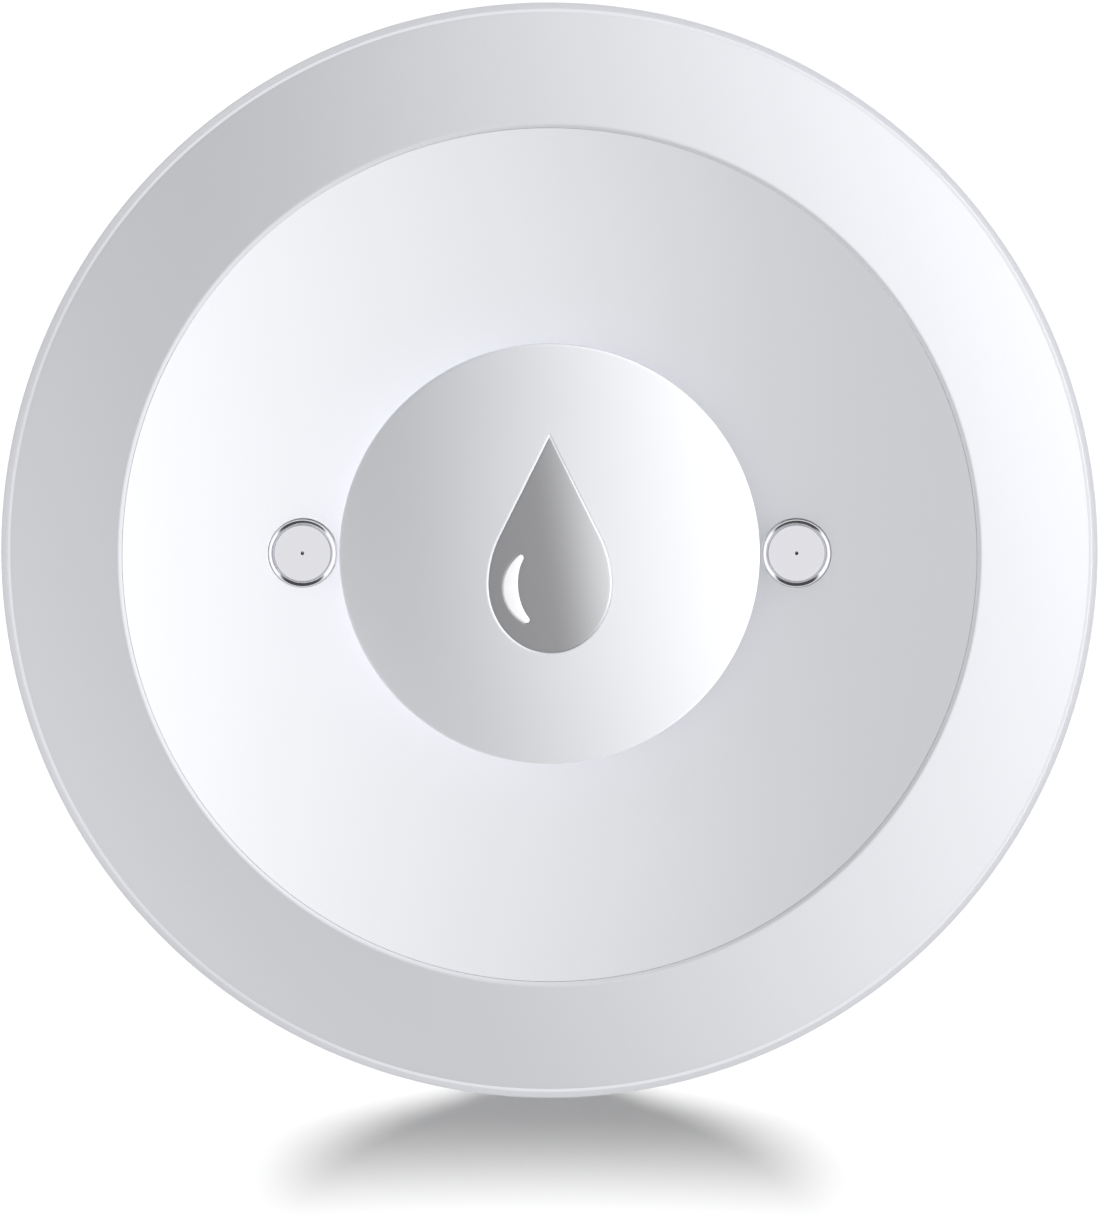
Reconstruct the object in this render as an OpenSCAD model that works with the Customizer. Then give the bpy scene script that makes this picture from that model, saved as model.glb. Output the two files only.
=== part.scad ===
// Water leak sensor: a round floor puck. A sloped ring carries a dished drip tray with two drip
// probes, and a domed press button with a drop-shaped light window stands in the middle of the tray.
// The bowl-shaped base holds a coin cell behind a quarter-turn door, and two floor probes.
// Units are millimetres. The floor is z = 0 and the puck's axis is Z.
// +Y runs towards the tip of the drop symbol, +X towards the right-hand drip probe.

/* [Base] */
// Largest diameter, at the rim of the base
body_d = 65; // [60:0.5:72]
// Diameter of the flat underside
underside_d = 55; // [50:0.5:58]
// Wall thickness of the base
wall = 2; // [1.6:0.1:2.6]
// Thickness of the base's floor
floor_t = 2; // [1.7:0.1:2.8]
// Height of the straight band below the seam
rim_band = 1.5; // [1:0.1:3]
// How far that band stands proud of the bowl
rim_lip = 0.3; // [0.1:0.05:0.6]

/* [Ring] */
// How far the ring's edge is set in from the base's rim
rim_step = 0.2; // [0.1:0.05:0.5]
// Diameter of the crest, where the ring meets the dish
crest_d = 50.5; // [49:0.5:54]
// Height of the crest above the seam
crest_rise = 5; // [4:0.1:6]
// Height of the ring's straight outer edge
ring_edge = 0.5; // [0.3:0.1:1]
// Radius of the ring's outward bulge
ring_bulge_r = 38; // [20:1:80]
// Width of the ledge that carries the dish
ledge_w = 1; // [0.8:0.1:1.4]
// Thickness of that ledge
ledge_t = 1.6; // [1.2:0.1:2]
// Thickness of the ring above the seam, at its tongue
ring_root_t = 0.6; // [0.4:0.1:1]
// Width of the tongue that drops into the base
tongue_w = 1.5; // [1.2:0.1:2]
// Depth of that tongue below the seam
tongue_h = 1.4; // [1:0.1:2]

/* [Dish] */
// Depth of the dish at its centre, below the crest
dish_depth = 5; // [4:0.1:6]
// Thickness of the dish
dish_t = 1.8; // [1.5:0.1:2.2]
// Depth of the hub below the lowest point of the dish
hub_depth = 1.1; // [0.9:0.1:2]
// Gap between the dish and the ring at the crest
dish_gap = 0.1; // [0.05:0.05:0.2]

/* [Button] */
// Diameter of the button
button_d = 24.8; // [23:0.1:27]
// Height of the button's edge below the crest
button_edge_drop = 1.6; // [1:0.1:2.2]
// Rise of the button's dome above its edge
button_crown = 2.9; // [2.2:0.1:3.6]
// Thickness of the button's dome
button_t = 1.8; // [1.5:0.1:2.4]
// How far the button overhangs its stem
button_overhang = 2; // [1.6:0.1:2.5]
// Thickness of the stem's wall
stem_t = 1.4; // [1:0.1:1.8]
// Travel of the button
button_travel = 0.4; // [0.25:0.05:0.5]
// Gap between the stem and the hub
stem_gap = 0.15; // [0.1:0.05:0.25]
// Reach of the snap hooks past the stem
hook_reach = 0.65; // [0.4:0.05:0.8]
// Height of the snap hooks
hook_h = 0.8; // [0.6:0.1:1.2]
// Width of a snap hook, in degrees
hook_angle = 30; // [20:1:40]
// Width of the slits beside the snap hooks
hook_slit_w = 0.8; // [0.5:0.1:1.2]
// Diameter of the post that works the switch
post_d = 3; // [2:0.1:4]

/* [Drop symbol] */
// Half width of the drop
drop_half_w = 3.62; // [3:0.02:4]
// Length of the drop below its widest line
drop_below = 4.04; // [3.4:0.02:4.4]
// Length of the drop above its widest line
drop_above = 8.74; // [7.5:0.02:9.5]
// Radius of the drop's flanks
drop_flank_r = 6.4; // [5.5:0.1:7.5]
// Place of the drop's widest line, along Y
drop_y = -1.66; // [-2.2:0.02:-1]
// Depth of the drop inlay
inlay_t = 1; // [0.6:0.1:1.2]
// Height of the inlay above the dome
inlay_proud = 0.1; // [0.05:0.05:0.2]
// Gap around the inlay
inlay_gap = 0.03; // [0.02:0.01:0.06]
// Radius of the glint's outer edge
glint_r = 2.7; // [2.3:0.1:3]
// Width of the glint at its middle
glint_w = 0.85; // [0.6:0.05:1]
// Radius of the glint's inner edge
glint_inner_r = 3.5; // [3.2:0.1:4.5]
// Half height of the glint
glint_half_h = 2; // [1.4:0.1:2.2]

/* [Probes] */
// Gap between a drip probe's head and the button
probe_button_gap = 0.2; // [0.15:0.05:1.5]
// Diameter of a probe's head
probe_head_d = 4; // [3.6:0.1:4.6]
// Diameter of a probe's shank
probe_shank_d = 2; // [1.8:0.1:2.3]
// Rounding of a probe head's edge
probe_edge = 0.25; // [0.1:0.05:0.4]
// Diameter of the dimple in a probe's head
probe_dimple_d = 0.3; // [0.2:0.05:0.6]
// How far a drip probe's head stands above the dish at its outer side
probe_proud = 0.2; // [0.1:0.05:0.5]
// Wall round a drip probe's seal in the dish
probe_boss_wall = 1; // [0.8:0.1:1.4]
// Diameter of the standoffs that the drip probes screw into
standoff_d = 3.2; // [2.9:0.1:3.6]
// Gap between a floor probe and the floor
floor_probe_clear = 0.4; // [0.2:0.1:0.8]
// Height of a floor probe's head
floor_probe_head_h = 1; // [0.8:0.1:1.4]
// Thickness of a floor probe's nut
floor_nut_t = 1.6; // [1.2:0.1:2]
// Width of a floor probe's nut across its corners
floor_nut_d = 4.6; // [4:0.1:5]
// How far a floor probe's shank stands out of its nut
floor_shank_out = 0.4; // [0.2:0.1:0.8]
// Thickness of the wire in a floor probe's spring
spring_wire_d = 0.3; // [0.2:0.02:0.34]
// Outer diameter of a floor probe's spring
spring_d = 2.4; // [1.8:0.1:2.8]
// Turns in a floor probe's spring
spring_turns = 4; // [3:1:4]

/* [Battery] */
// Diameter of the coin cell
cell_d = 24.5; // [22:0.5:26]
// Height of the coin cell
cell_h = 5; // [4:0.1:5.6]
// How far the cell's minus face is set in from its side
cell_minus_inset = 1.8; // [1.2:0.1:2.4]
// Height of the step round the cell's minus face
cell_minus_step = 0.4; // [0.2:0.1:0.6]
// Gap around the coin cell
cell_gap = 0.35; // [0.25:0.05:0.5]
// Room above the cell for its spring contact
contact_room = 0.7; // [0.6:0.1:1.2]
// Thickness of the contact strip
contact_t = 0.2; // [0.15:0.05:0.3]
// Width of the contact strips
contact_w = 3; // [2:0.1:4]
// Length of a contact's foot under the board
contact_foot_l = 2; // [1.5:0.1:3]
// Length of the arm that reaches down to the minus face
contact_arm_l = 4; // [3:0.1:6]

/* [Battery door] */
// Thickness of the door
door_t = 1.8; // [1.5:0.1:2.4]
// Thickness of the door's flange
door_flange_t = 1.2; // [1:0.1:1.5]
// How far the flange covers its seal
door_flange_lap = 0.4; // [0.2:0.1:0.6]
// Thickness of the ledge that the lugs hold on to
door_ledge_t = 1.2; // [1:0.1:1.6]
// Wall round the door's recess
door_boss_wall = 1.2; // [0.8:0.1:1.6]
// Wall of the cup that holds the cell
cup_t = 1.1; // [0.9:0.1:1.4]
// Reach of the bayonet lugs
lug_reach = 1.3; // [1:0.1:1.6]
// Height of the bayonet lugs
lug_h = 1.2; // [1:0.1:1.6]
// Width of a bayonet lug, in degrees
lug_angle = 24; // [18:1:28]
// Play beside a bayonet lug, in degrees
lug_play = 2; // [1:0.5:3]
// Width of the stop beside a bayonet lug, in degrees
lug_stop_angle = 6; // [4:1:10]
// Turn that frees the door, in degrees
door_turn = 30; // [28:1:34]
// Running gap around the door
door_gap = 0.2; // [0.1:0.05:0.3]
// Length of the coin slot
coin_slot_l = 18; // [14:0.5:22]
// Width of the coin slot
coin_slot_w = 2.2; // [1.8:0.1:3]
// Depth of the coin slot
coin_slot_depth = 1; // [0.7:0.1:1.2]

/* [Board] */
// Diameter of the circuit board
board_d = 52; // [49:0.5:54]
// Thickness of the circuit board
board_t = 1.2; // [1:0.1:1.6]
// Room between the clamp ring and the board's screw bosses
board_boss_room = 1.8; // [1:0.1:2.2]
// Height of the tact switch with its plunger
switch_h = 1.1; // [1:0.1:1.6]
// Side of the tact switch
switch_side = 4.5; // [4:0.1:5.2]
// Diameter of the switch's plunger
plunger_d = 2; // [1.6:0.1:2.4]
// Length of the radio module
radio_l = 12; // [10:0.5:14]
// Width of the radio module
radio_w = 7; // [6:0.5:8]
// Height of the radio module
radio_h = 2.2; // [1.6:0.1:2.6]
// Thickness of the radio module's carrier
radio_carrier_t = 0.8; // [0.6:0.1:1]
// Margin of the carrier round the radio module's shield
radio_margin = 0.6; // [0.4:0.1:1]
// Length of the chip antenna
antenna_l = 7; // [5:0.5:9]
// Width of the chip antenna
antenna_w = 2; // [1.5:0.1:3]
// Height of the chip antenna
antenna_h = 1.2; // [0.8:0.1:1.6]
// Length of the status light
led_l = 2; // [1.6:0.1:3]
// Width of the status light
led_w = 1.25; // [0.8:0.05:1.6]
// Height of the status light
led_h = 0.5; // [0.3:0.05:0.6]

/* [Seals and feet] */
// Thickness of the membrane's web under the button
membrane_t = 0.4; // [0.3:0.05:0.6]
// Thickness of the membrane's side wall
membrane_wall_t = 0.6; // [0.4:0.05:0.8]
// Thickness of the membrane's rim
membrane_rim_t = 0.8; // [0.6:0.1:1]
// Thickness of the flat seals
seal_t = 0.5; // [0.4:0.05:0.8]
// Width of the door's seal
door_seal_w = 1.4; // [1:0.1:1.8]
// Thickness of the small ring seals on the probes
ring_seal_t = 0.5; // [0.4:0.02:0.6]
// Height of the feet below the base
foot_h = 1; // [0.8:0.1:2]
// Diameter of the feet
foot_d = 5.4; // [4.8:0.1:5.8]
// Depth of the recess that holds a foot
foot_recess = 0.6; // [0.4:0.1:0.9]
// Chamfer round a foot's sole
foot_chamfer = 0.3; // [0.1:0.05:0.6]

/* [Screws] */
// Diameter of the case screws
case_screw_d = 2.2; // [2:0.1:2.6]
// Diameter of the case screws' heads
case_head_d = 4; // [3.6:0.1:4.4]
// Height of the case screws' heads
case_head_h = 1.5; // [1.2:0.1:1.8]
// Room between a case screw's head and the foot that covers it
case_head_room = 0.3; // [0.1:0.1:0.6]
// How far the case screws reach above the lowest point of the dish
case_screw_over = 0.4; // [0:0.1:0.8]
// Diameter of the board screws
board_screw_d = 1.9; // [1.6:0.1:2.2]
// Diameter of the board screws' heads
board_head_d = 3.6; // [3.2:0.1:4]
// Height of the board screws' heads
board_head_h = 1.2; // [1:0.1:1.4]
// Length of the board screws above the board
board_screw_grip = 3.4; // [2.5:0.1:4]
// Wall round a screw in its boss, and round its head in its post
screw_wall = 1.2; // [1:0.1:1.5]

/* [Hidden] */
$fn = 96;

// Clearances that several pieces share
touch_gap = 0.02; // faces that meet without biting
slip_gap = 0.1; // pieces that drop into place
split_gap = 0.2; // the base's posts and the dish's bosses
free_gap = 0.3; // pieces that pass each other
drill_over = 0.6; // depth of a pilot hole past its screw
cut_over = 1; // how far a cut runs past a face

// Radii of the casing and the button
body_r = body_d / 2;
ring_r = body_r - rim_step;
crest_r = crest_d / 2;
dish_r = crest_r - dish_gap;
ledge_r = crest_r - ledge_w;
button_r = button_d / 2;
stem_r = button_r - button_overhang;
hub_hole_r = stem_r + stem_gap;
hook_r = stem_r + hook_reach;

// Probes, and the clamp ring that fits between the button's hooks and the standoffs
probe_head_r = probe_head_d / 2;
probe_shank_r = probe_shank_d / 2;
ring_seal_r = probe_shank_r + touch_gap + ring_seal_t;
drip_probe_x = button_r + probe_button_gap + probe_head_r;
drip_probe_angles = [0, 180];
membrane_in_r = hook_r + 2 * slip_gap;
membrane_wall_r = membrane_in_r + membrane_wall_t;
clamp_in_r = membrane_wall_r + slip_gap;
clamp_r = drip_probe_x - standoff_d / 2 - slip_gap;

// The battery door, worked outwards from the cell
cell_r = cell_d / 2;
cup_in_r = cell_r + cell_gap;
cup_r = cup_in_r + cup_t;
lug_r = cup_r + lug_reach;
door_bore_r = cup_r + door_gap;
lug_slot_r = lug_r + door_gap;
door_seal_in_r = lug_slot_r + free_gap;
door_seal_r = door_seal_in_r + door_seal_w;
door_flange_r = door_seal_r + door_flange_lap;
door_recess_r = door_flange_r + door_gap;
lug_angles = [0, 120, 240];

// The four case screws sit midway between the door and the dish's ledge
screw_circle_r = (door_recess_r + ledge_r) / 2;
screw_angles = [45, 135, 225, 315];
floor_probe_angles = [90, 270];
case_screw_r = case_screw_d / 2;
case_head_r = case_head_d / 2;
case_post_r = case_head_r + screw_wall;
foot_r = foot_d / 2;
board_screw_r = board_screw_d / 2;
board_head_r = board_head_d / 2;
board_screw_y = clamp_r + board_boss_room + board_head_r;
board_screw_angles = [90, 270];

// Heights, worked upwards from the floor through the inner stack
base_z = foot_h;
base_floor_z = base_z + floor_t;
door_shelf_z = base_z + door_flange_t + seal_t;
door_ledge_z = door_shelf_z + door_ledge_t;
lug_z = door_ledge_z + slip_gap;
cup_top_z = lug_z + lug_h;
cell_z = base_z + door_t + slip_gap;
cell_top_z = cell_z + cell_h;
board_z = cell_top_z + contact_room;
board_top_z = board_z + board_t;
web_z = board_top_z + switch_h;
web_top_z = web_z + membrane_t;
stem_z = web_top_z + free_gap + button_travel;
hub_z = stem_z + hook_h + slip_gap;
dish_low_z = hub_z + hub_depth;
crest_z = dish_low_z + dish_depth;
seam_z = crest_z - crest_rise;
ledge_z = crest_z - dish_t - seal_t;
split_z = board_top_z + split_gap;
screw_seat_z = base_z + foot_recess + case_head_room + case_head_h;
screw_tip_z = dish_low_z + case_screw_over;
board_screw_tip_z = board_top_z + board_screw_grip;

// The dish and the button's dome are parts of spheres
function cap_sphere_r(half_width, rise) = (half_width ^ 2 + rise ^ 2) / (2 * rise);
dish_sphere_r = cap_sphere_r(crest_r, dish_depth);
dish_sphere_z = dish_low_z + dish_sphere_r;
function dish_z(r) = dish_sphere_z - sqrt(dish_sphere_r ^ 2 - r ^ 2);
button_edge_z = crest_z - button_edge_drop;
button_top_z = button_edge_z + button_crown;
button_sphere_r = cap_sphere_r(button_r, button_crown);
button_sphere_z = button_top_z - button_sphere_r;
cap_under_z = dish_z(button_r) + button_travel + free_gap;

// The bowl of the base is an arc from the underside to the rim band
band_z = seam_z - rim_band;
bowl_top_r = body_r - rim_lip;
bowl_drop = band_z - base_z;
bowl_r = cap_sphere_r(bowl_drop, bowl_top_r - underside_d / 2);
bowl_centre_r = bowl_top_r - bowl_r;

// Seats of the probes
drip_seat_z = dish_z(drip_probe_x - probe_head_r);
drip_head_top_z = dish_z(drip_probe_x + probe_head_r) + probe_proud;
floor_seat_z = floor_probe_clear + floor_probe_head_h;
floor_shank_top_z = base_floor_z + floor_nut_t + floor_shank_out;

// Outline of the drop: a half ellipse below its widest line, and above it two flank arcs that run
// straight on to the tip. Drawing it smaller by a gap keeps the centres of the flanks.
function flank_x(half_w, flank_r) = flank_r - half_w;
function flank_end(half_w, above, flank_r) =
    atan2(above, -flank_x(half_w, flank_r)) + acos(flank_r / norm([flank_x(half_w, flank_r), above]));
tip_half_angle = 180 - flank_end(drop_half_w, drop_above, drop_flank_r);
ellipse_steps = 24;
flank_steps = 6;
function flank_points(half_w, above, flank_r, side) =
    let (turn = 180 - flank_end(half_w, above, flank_r))
    [for (i = [1:flank_steps])
        let (a = 180 - turn * i / flank_steps)
        [side * (flank_x(half_w, flank_r) + flank_r * cos(a)), flank_r * sin(a)]];
function reversed(list) = [for (i = [len(list) - 1:-1:0]) list[i]];
function drop_points(half_w, below, above, flank_r) = concat(
    [for (i = [0:ellipse_steps])
        let (a = -180 * i / ellipse_steps)
        [half_w * cos(a), below * sin(a)]],
    flank_points(half_w, above, flank_r, 1),
    [[0, above]],
    reversed(flank_points(half_w, above, flank_r, -1))
);

// Helix of a floor probe's spring: rings of points along the wire, joined into one tube
spring_sides = 6;
spring_turn_rings = 12;
spring_rings = spring_turns * spring_turn_rings;
spring_wire_r = spring_wire_d / 2;
spring_mean_r = spring_d / 2 - spring_wire_r;
spring_rise = board_z - floor_shank_top_z - spring_wire_d - 2 * touch_gap;
function spring_centre(i) =
    let (a = 360 * i / spring_turn_rings)
    [spring_mean_r * cos(a), spring_mean_r * sin(a), spring_rise * i / spring_rings];
spring_points = [for (i = [0:spring_rings]) for (j = [0:spring_sides - 1])
    let (a = 360 * i / spring_turn_rings, b = 360 * j / spring_sides)
    spring_centre(i) + spring_wire_r * [cos(b) * cos(a), cos(b) * sin(a), sin(b)]];
function spring_point(i, j) = i * spring_sides + j % spring_sides;
spring_faces = concat(
    [for (j = [1:spring_sides - 2]) [0, j, j + 1]],
    [for (j = [1:spring_sides - 2])
        [spring_point(spring_rings, 0), spring_point(spring_rings, j + 1), spring_point(spring_rings, j)]],
    [for (i = [0:spring_rings - 1]) for (j = [0:spring_sides - 1])
        [spring_point(i, j), spring_point(i + 1, j), spring_point(i, j + 1)]],
    [for (i = [0:spring_rings - 1]) for (j = [0:spring_sides - 1])
        [spring_point(i + 1, j), spring_point(i + 1, j + 1), spring_point(i, j + 1)]]
);
spring_pitches = [for (i = [0:spring_rings - spring_turn_rings])
    norm(spring_centre(i + spring_turn_rings) - spring_centre(i))];
echo(least_gap_in_spring = min(spring_pitches) - spring_wire_d);

// A disc between two heights
module disc(r, from_z, to_z) {
    translate([0, 0, from_z]) cylinder(r = r, h = to_z - from_z);
}

// A tube between two heights
module tube(r_out, r_in, from_z, to_z) {
    difference() {
        disc(r_out, from_z, to_z);
        disc(r_in, from_z - cut_over, to_z + cut_over);
    }
}

// Part of a tube, centred on an angle
module tube_sector(r_out, r_in, from_z, to_z, angle, width) {
    rotate([0, 0, angle - width / 2])
        translate([0, 0, from_z])
            rotate_extrude(angle = width) translate([r_in, 0]) square([r_out - r_in, to_z - from_z]);
}

// Children repeated at angles round a circle
module around(r, angles) {
    for (a = angles) rotate([0, 0, a]) translate([r, 0, 0]) children();
}

// A pan-head screw that points up, with its head's bearing face at z = 0
module pan_screw(screw_r, length, head_r, head_h) {
    crown_r = head_r * 1.6;
    recess_l = head_r * 1.2;
    recess_w = head_r * 0.3;
    recess_depth = head_h * 0.6;
    difference() {
        union() {
            cylinder(r = screw_r, h = length);
            intersection() {
                disc(head_r, -head_h, 0);
                translate([0, 0, crown_r - head_h]) sphere(r = crown_r);
            }
        }
        for (turn = [0, 90]) rotate([0, 0, turn])
            translate([-recess_l / 2, -recess_w / 2, -head_h - cut_over])
                cube([recess_l, recess_w, recess_depth + cut_over]);
    }
}

// A probe with its head up: a rounded head with a centre dimple, over a plain shank
module probe(seat_z, head_h, shank_l) {
    translate([0, 0, seat_z])
        difference() {
            union() {
                rotate_extrude() {
                    square([probe_head_r - probe_edge, head_h]);
                    square([probe_head_r, head_h - probe_edge]);
                    translate([probe_head_r - probe_edge, head_h - probe_edge]) circle(r = probe_edge);
                }
                disc(probe_shank_r, -shank_l, head_h / 2);
            }
            disc(probe_dimple_d / 2, head_h - probe_dimple_d, head_h + cut_over);
        }
}

// A small ring seal round a probe's shank, with its middle at a height
module ring_seal(z) {
    translate([0, 0, z])
        rotate_extrude()
            translate([ring_seal_r - ring_seal_t / 2, 0]) circle(r = ring_seal_t / 2 - touch_gap);
}

// Half section of the bowl, drawn in from its outside by an inset
module bowl_section(inset) {
    intersection() {
        translate([bowl_centre_r, band_z]) circle(r = bowl_r - inset);
        translate([0, base_z]) square([body_r, bowl_drop]);
    }
    translate([0, base_z]) square([bowl_centre_r, bowl_drop]);
}

module base_section() {
    inner_r = body_r - wall;
    difference() {
        union() {
            bowl_section(0);
            translate([0, band_z]) square([body_r, rim_band]);
        }
        intersection() {
            union() {
                bowl_section(wall - rim_lip);
                translate([0, band_z]) square([inner_r, rim_band + cut_over]);
            }
            translate([0, base_floor_z]) square([body_r, seam_z]);
        }
    }
}

module base_shell() {
    groove_mid_r = body_r - wall / 2;
    groove_half_w = seal_t / 2 + touch_gap;
    stop_angle = lug_angle / 2 + lug_play + lug_stop_angle / 2;
    color("whitesmoke") {
        difference() {
            union() {
                rotate_extrude() base_section();
                disc(door_recess_r + door_boss_wall, base_z, door_ledge_z);
                around(screw_circle_r, screw_angles) disc(case_post_r, base_z, board_top_z);
            }
            // Recess, bore and entry slots for the battery door
            disc(door_recess_r, base_z - cut_over, door_shelf_z);
            disc(door_bore_r, base_z, door_ledge_z + cut_over);
            for (a = lug_angles)
                tube_sector(lug_slot_r, door_bore_r - slip_gap, base_z, door_ledge_z + cut_over,
                    a - door_turn, lug_angle + 2 * lug_play);
            // Feet and case screws
            around(screw_circle_r, screw_angles) {
                disc(foot_r + slip_gap, base_z - cut_over, base_z + foot_recess);
                disc(case_head_r + slip_gap, base_z, screw_seat_z);
                disc(case_screw_r + slip_gap, base_z, board_top_z + cut_over);
            }
            // Floor probes with their seals, and the seats of their nuts
            around(screw_circle_r, floor_probe_angles) {
                disc(floor_nut_d / 2 + slip_gap, base_floor_z, door_ledge_z + cut_over);
                disc(probe_head_r + slip_gap, base_z - cut_over, floor_seat_z);
                disc(ring_seal_r + touch_gap, base_z, floor_seat_z + ring_seal_t);
                disc(probe_shank_r + touch_gap, base_z, base_floor_z + cut_over);
            }
            // Groove for the seal under the ring
            tube(groove_mid_r + groove_half_w, groove_mid_r - groove_half_w,
                seam_z - seal_t, seam_z + cut_over);
        }
        // Stops that end the door's turn in its locked place
        for (a = lug_angles)
            tube_sector(lug_slot_r, door_bore_r + slip_gap, door_ledge_z - door_ledge_t / 2, cup_top_z,
                a + stop_angle, lug_stop_angle);
    }
}

module upper_ring() {
    tongue_r = body_r - wall - slip_gap;
    tongue_in_r = tongue_r - tongue_w;
    edge = [ring_r, seam_z + ring_edge];
    crest = [crest_r, crest_z];
    chord = crest - edge;
    inward = [-chord[1], chord[0]] / norm(chord);
    bulge_centre = (edge + crest) / 2 + inward * sqrt(ring_bulge_r ^ 2 - (norm(chord) / 2) ^ 2);
    color("white")
        rotate_extrude()
            intersection() {
                polygon([
                    [tongue_r, seam_z], [ring_r, seam_z], [ring_r, crest_z + cut_over],
                    [crest_r, crest_z + cut_over], [crest_r, ledge_z], [ledge_r, ledge_z],
                    [ledge_r, ledge_z - ledge_t], [tongue_in_r, seam_z + ring_root_t],
                    [tongue_in_r, seam_z - tongue_h], [tongue_r, seam_z - tongue_h]
                ]);
                translate(bulge_centre) circle(r = ring_bulge_r);
            }
}

module drip_dish() {
    boss_limit_r = ledge_r - free_gap;
    hub_r = clamp_r + free_gap;
    case_boss_r = case_screw_r + screw_wall;
    color("white")
        difference() {
            union() {
                // The dish, with a flat flange under its edge
                difference() {
                    intersection() {
                        disc(dish_r, hub_z, crest_z);
                        translate([0, 0, dish_sphere_z]) sphere(r = dish_sphere_r + dish_t);
                    }
                    tube(dish_r + cut_over, boss_limit_r, hub_z - cut_over, crest_z - dish_t);
                }
                disc(hub_r, hub_z, crest_z);
                intersection() {
                    union() {
                        around(drip_probe_x, drip_probe_angles)
                            disc(ring_seal_r + probe_boss_wall, hub_z, crest_z);
                        around(board_screw_y, board_screw_angles) disc(board_head_r, board_top_z, crest_z);
                        around(screw_circle_r, screw_angles) disc(case_boss_r, split_z, crest_z);
                    }
                    disc(boss_limit_r, board_top_z, crest_z);
                }
            }
            translate([0, 0, dish_sphere_z]) sphere(r = dish_sphere_r);
            disc(hub_hole_r, hub_z - cut_over, crest_z);
            // Seats, seals and shanks of the drip probes
            around(drip_probe_x, drip_probe_angles) {
                disc(probe_head_r + slip_gap, drip_seat_z, crest_z);
                disc(ring_seal_r + touch_gap, drip_seat_z - ring_seal_t, crest_z);
                disc(probe_shank_r + touch_gap, hub_z - cut_over, crest_z);
            }
            // Pilot holes for the screws
            around(board_screw_y, board_screw_angles)
                disc(board_screw_r + touch_gap, board_top_z - cut_over, board_screw_tip_z + drill_over);
            around(screw_circle_r, screw_angles)
                disc(case_screw_r + touch_gap, split_z - cut_over, screw_tip_z + drill_over);
        }
}

module rim_seal() {
    mid_r = body_r - wall / 2;
    color("dimgray") tube(mid_r + seal_t / 2, mid_r - seal_t / 2, seam_z - seal_t, seam_z);
}

module dish_seal() {
    color("dimgray") tube(dish_r - slip_gap, ledge_r + slip_gap, ledge_z, ledge_z + seal_t);
}

// Outline of the drop drawn in by a gap, as an upright prism
module drop_prism(gap) {
    half_w = drop_half_w - gap;
    above = drop_above - gap / sin(tip_half_angle);
    translate([0, drop_y, 0])
        linear_extrude(height = button_top_z + cut_over)
            polygon(drop_points(half_w, drop_below - gap, above, drop_flank_r - gap));
}

// The glint in the drop: a crescent between two circles, cut square at its ends, as an upright prism
module glint_prism(grow) {
    half_h = glint_half_h + grow;
    translate([0, drop_y, 0])
        linear_extrude(height = button_top_z + cut_over)
            intersection() {
                difference() {
                    circle(r = glint_r + grow);
                    translate([glint_w - glint_r + glint_inner_r, 0]) circle(r = glint_inner_r - grow);
                }
                translate([-glint_r - cut_over, -half_h]) square([glint_r + cut_over, 2 * half_h]);
            }
}

module button_sphere(r) {
    translate([0, 0, button_sphere_z]) sphere(r = r);
}

module button_cap() {
    slit_top_z = hub_z + hook_h;
    slit_angle = hook_angle / 2 + asin(hook_slit_w / stem_r);
    stem_in_r = stem_r - stem_t;
    color("white")
        difference() {
            union() {
                intersection() {
                    union() {
                        disc(button_r, cap_under_z, button_top_z);
                        disc(stem_r, stem_z, button_top_z);
                    }
                    button_sphere(button_sphere_r);
                }
                for (a = screw_angles)
                    tube_sector(hook_r, stem_r - stem_t / 2, stem_z, stem_z + hook_h, a, hook_angle);
                disc(post_d / 2, web_top_z, button_edge_z);
            }
            // The hollow under the dome, round the post
            intersection() {
                tube(stem_in_r, post_d / 2, stem_z - cut_over, button_top_z);
                button_sphere(button_sphere_r - button_t);
            }
            // Slits that let the hooks spring
            for (a = screw_angles) for (side = [-1, 1]) rotate([0, 0, a + side * slit_angle])
                translate([stem_in_r - cut_over, -hook_slit_w / 2, stem_z - cut_over])
                    cube([stem_t + 2 * cut_over, hook_slit_w, slit_top_z - stem_z + cut_over]);
            // Pocket for the drop inlay, with the glint left standing
            difference() {
                drop_prism(0);
                button_sphere(button_sphere_r - inlay_t);
                glint_prism(0);
            }
        }
}

module drop_lens() {
    color("gray")
        difference() {
            intersection() {
                drop_prism(inlay_gap);
                button_sphere(button_sphere_r + inlay_proud);
            }
            button_sphere(button_sphere_r - inlay_t + touch_gap);
            glint_prism(inlay_gap);
        }
}

module button_membrane() {
    rim_z = hub_z - membrane_rim_t;
    color("gainsboro")
        rotate_extrude()
            polygon([[0, web_z], [membrane_wall_r, web_z], [membrane_wall_r, rim_z], [clamp_r, rim_z],
                [clamp_r, hub_z], [membrane_in_r, hub_z], [membrane_in_r, web_top_z], [0, web_top_z]]);
}

module membrane_clamp() {
    color("lightgray") tube(clamp_r, clamp_in_r, board_top_z, hub_z - membrane_rim_t);
}

module drip_probe(angle) {
    color("silver")
        around(drip_probe_x, [angle])
            probe(drip_seat_z, drip_head_top_z - drip_seat_z, drip_seat_z - board_top_z - slip_gap);
}

module drip_probe_left() {
    drip_probe(180);
}

module drip_probe_right() {
    drip_probe(0);
}

module drip_probe_seals() {
    color("black") around(drip_probe_x, drip_probe_angles) ring_seal(drip_seat_z - ring_seal_t / 2);
}

module probe_standoffs() {
    color("goldenrod")
        around(drip_probe_x, drip_probe_angles)
            tube(standoff_d / 2, probe_shank_r + touch_gap, board_top_z, hub_z);
}

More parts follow.
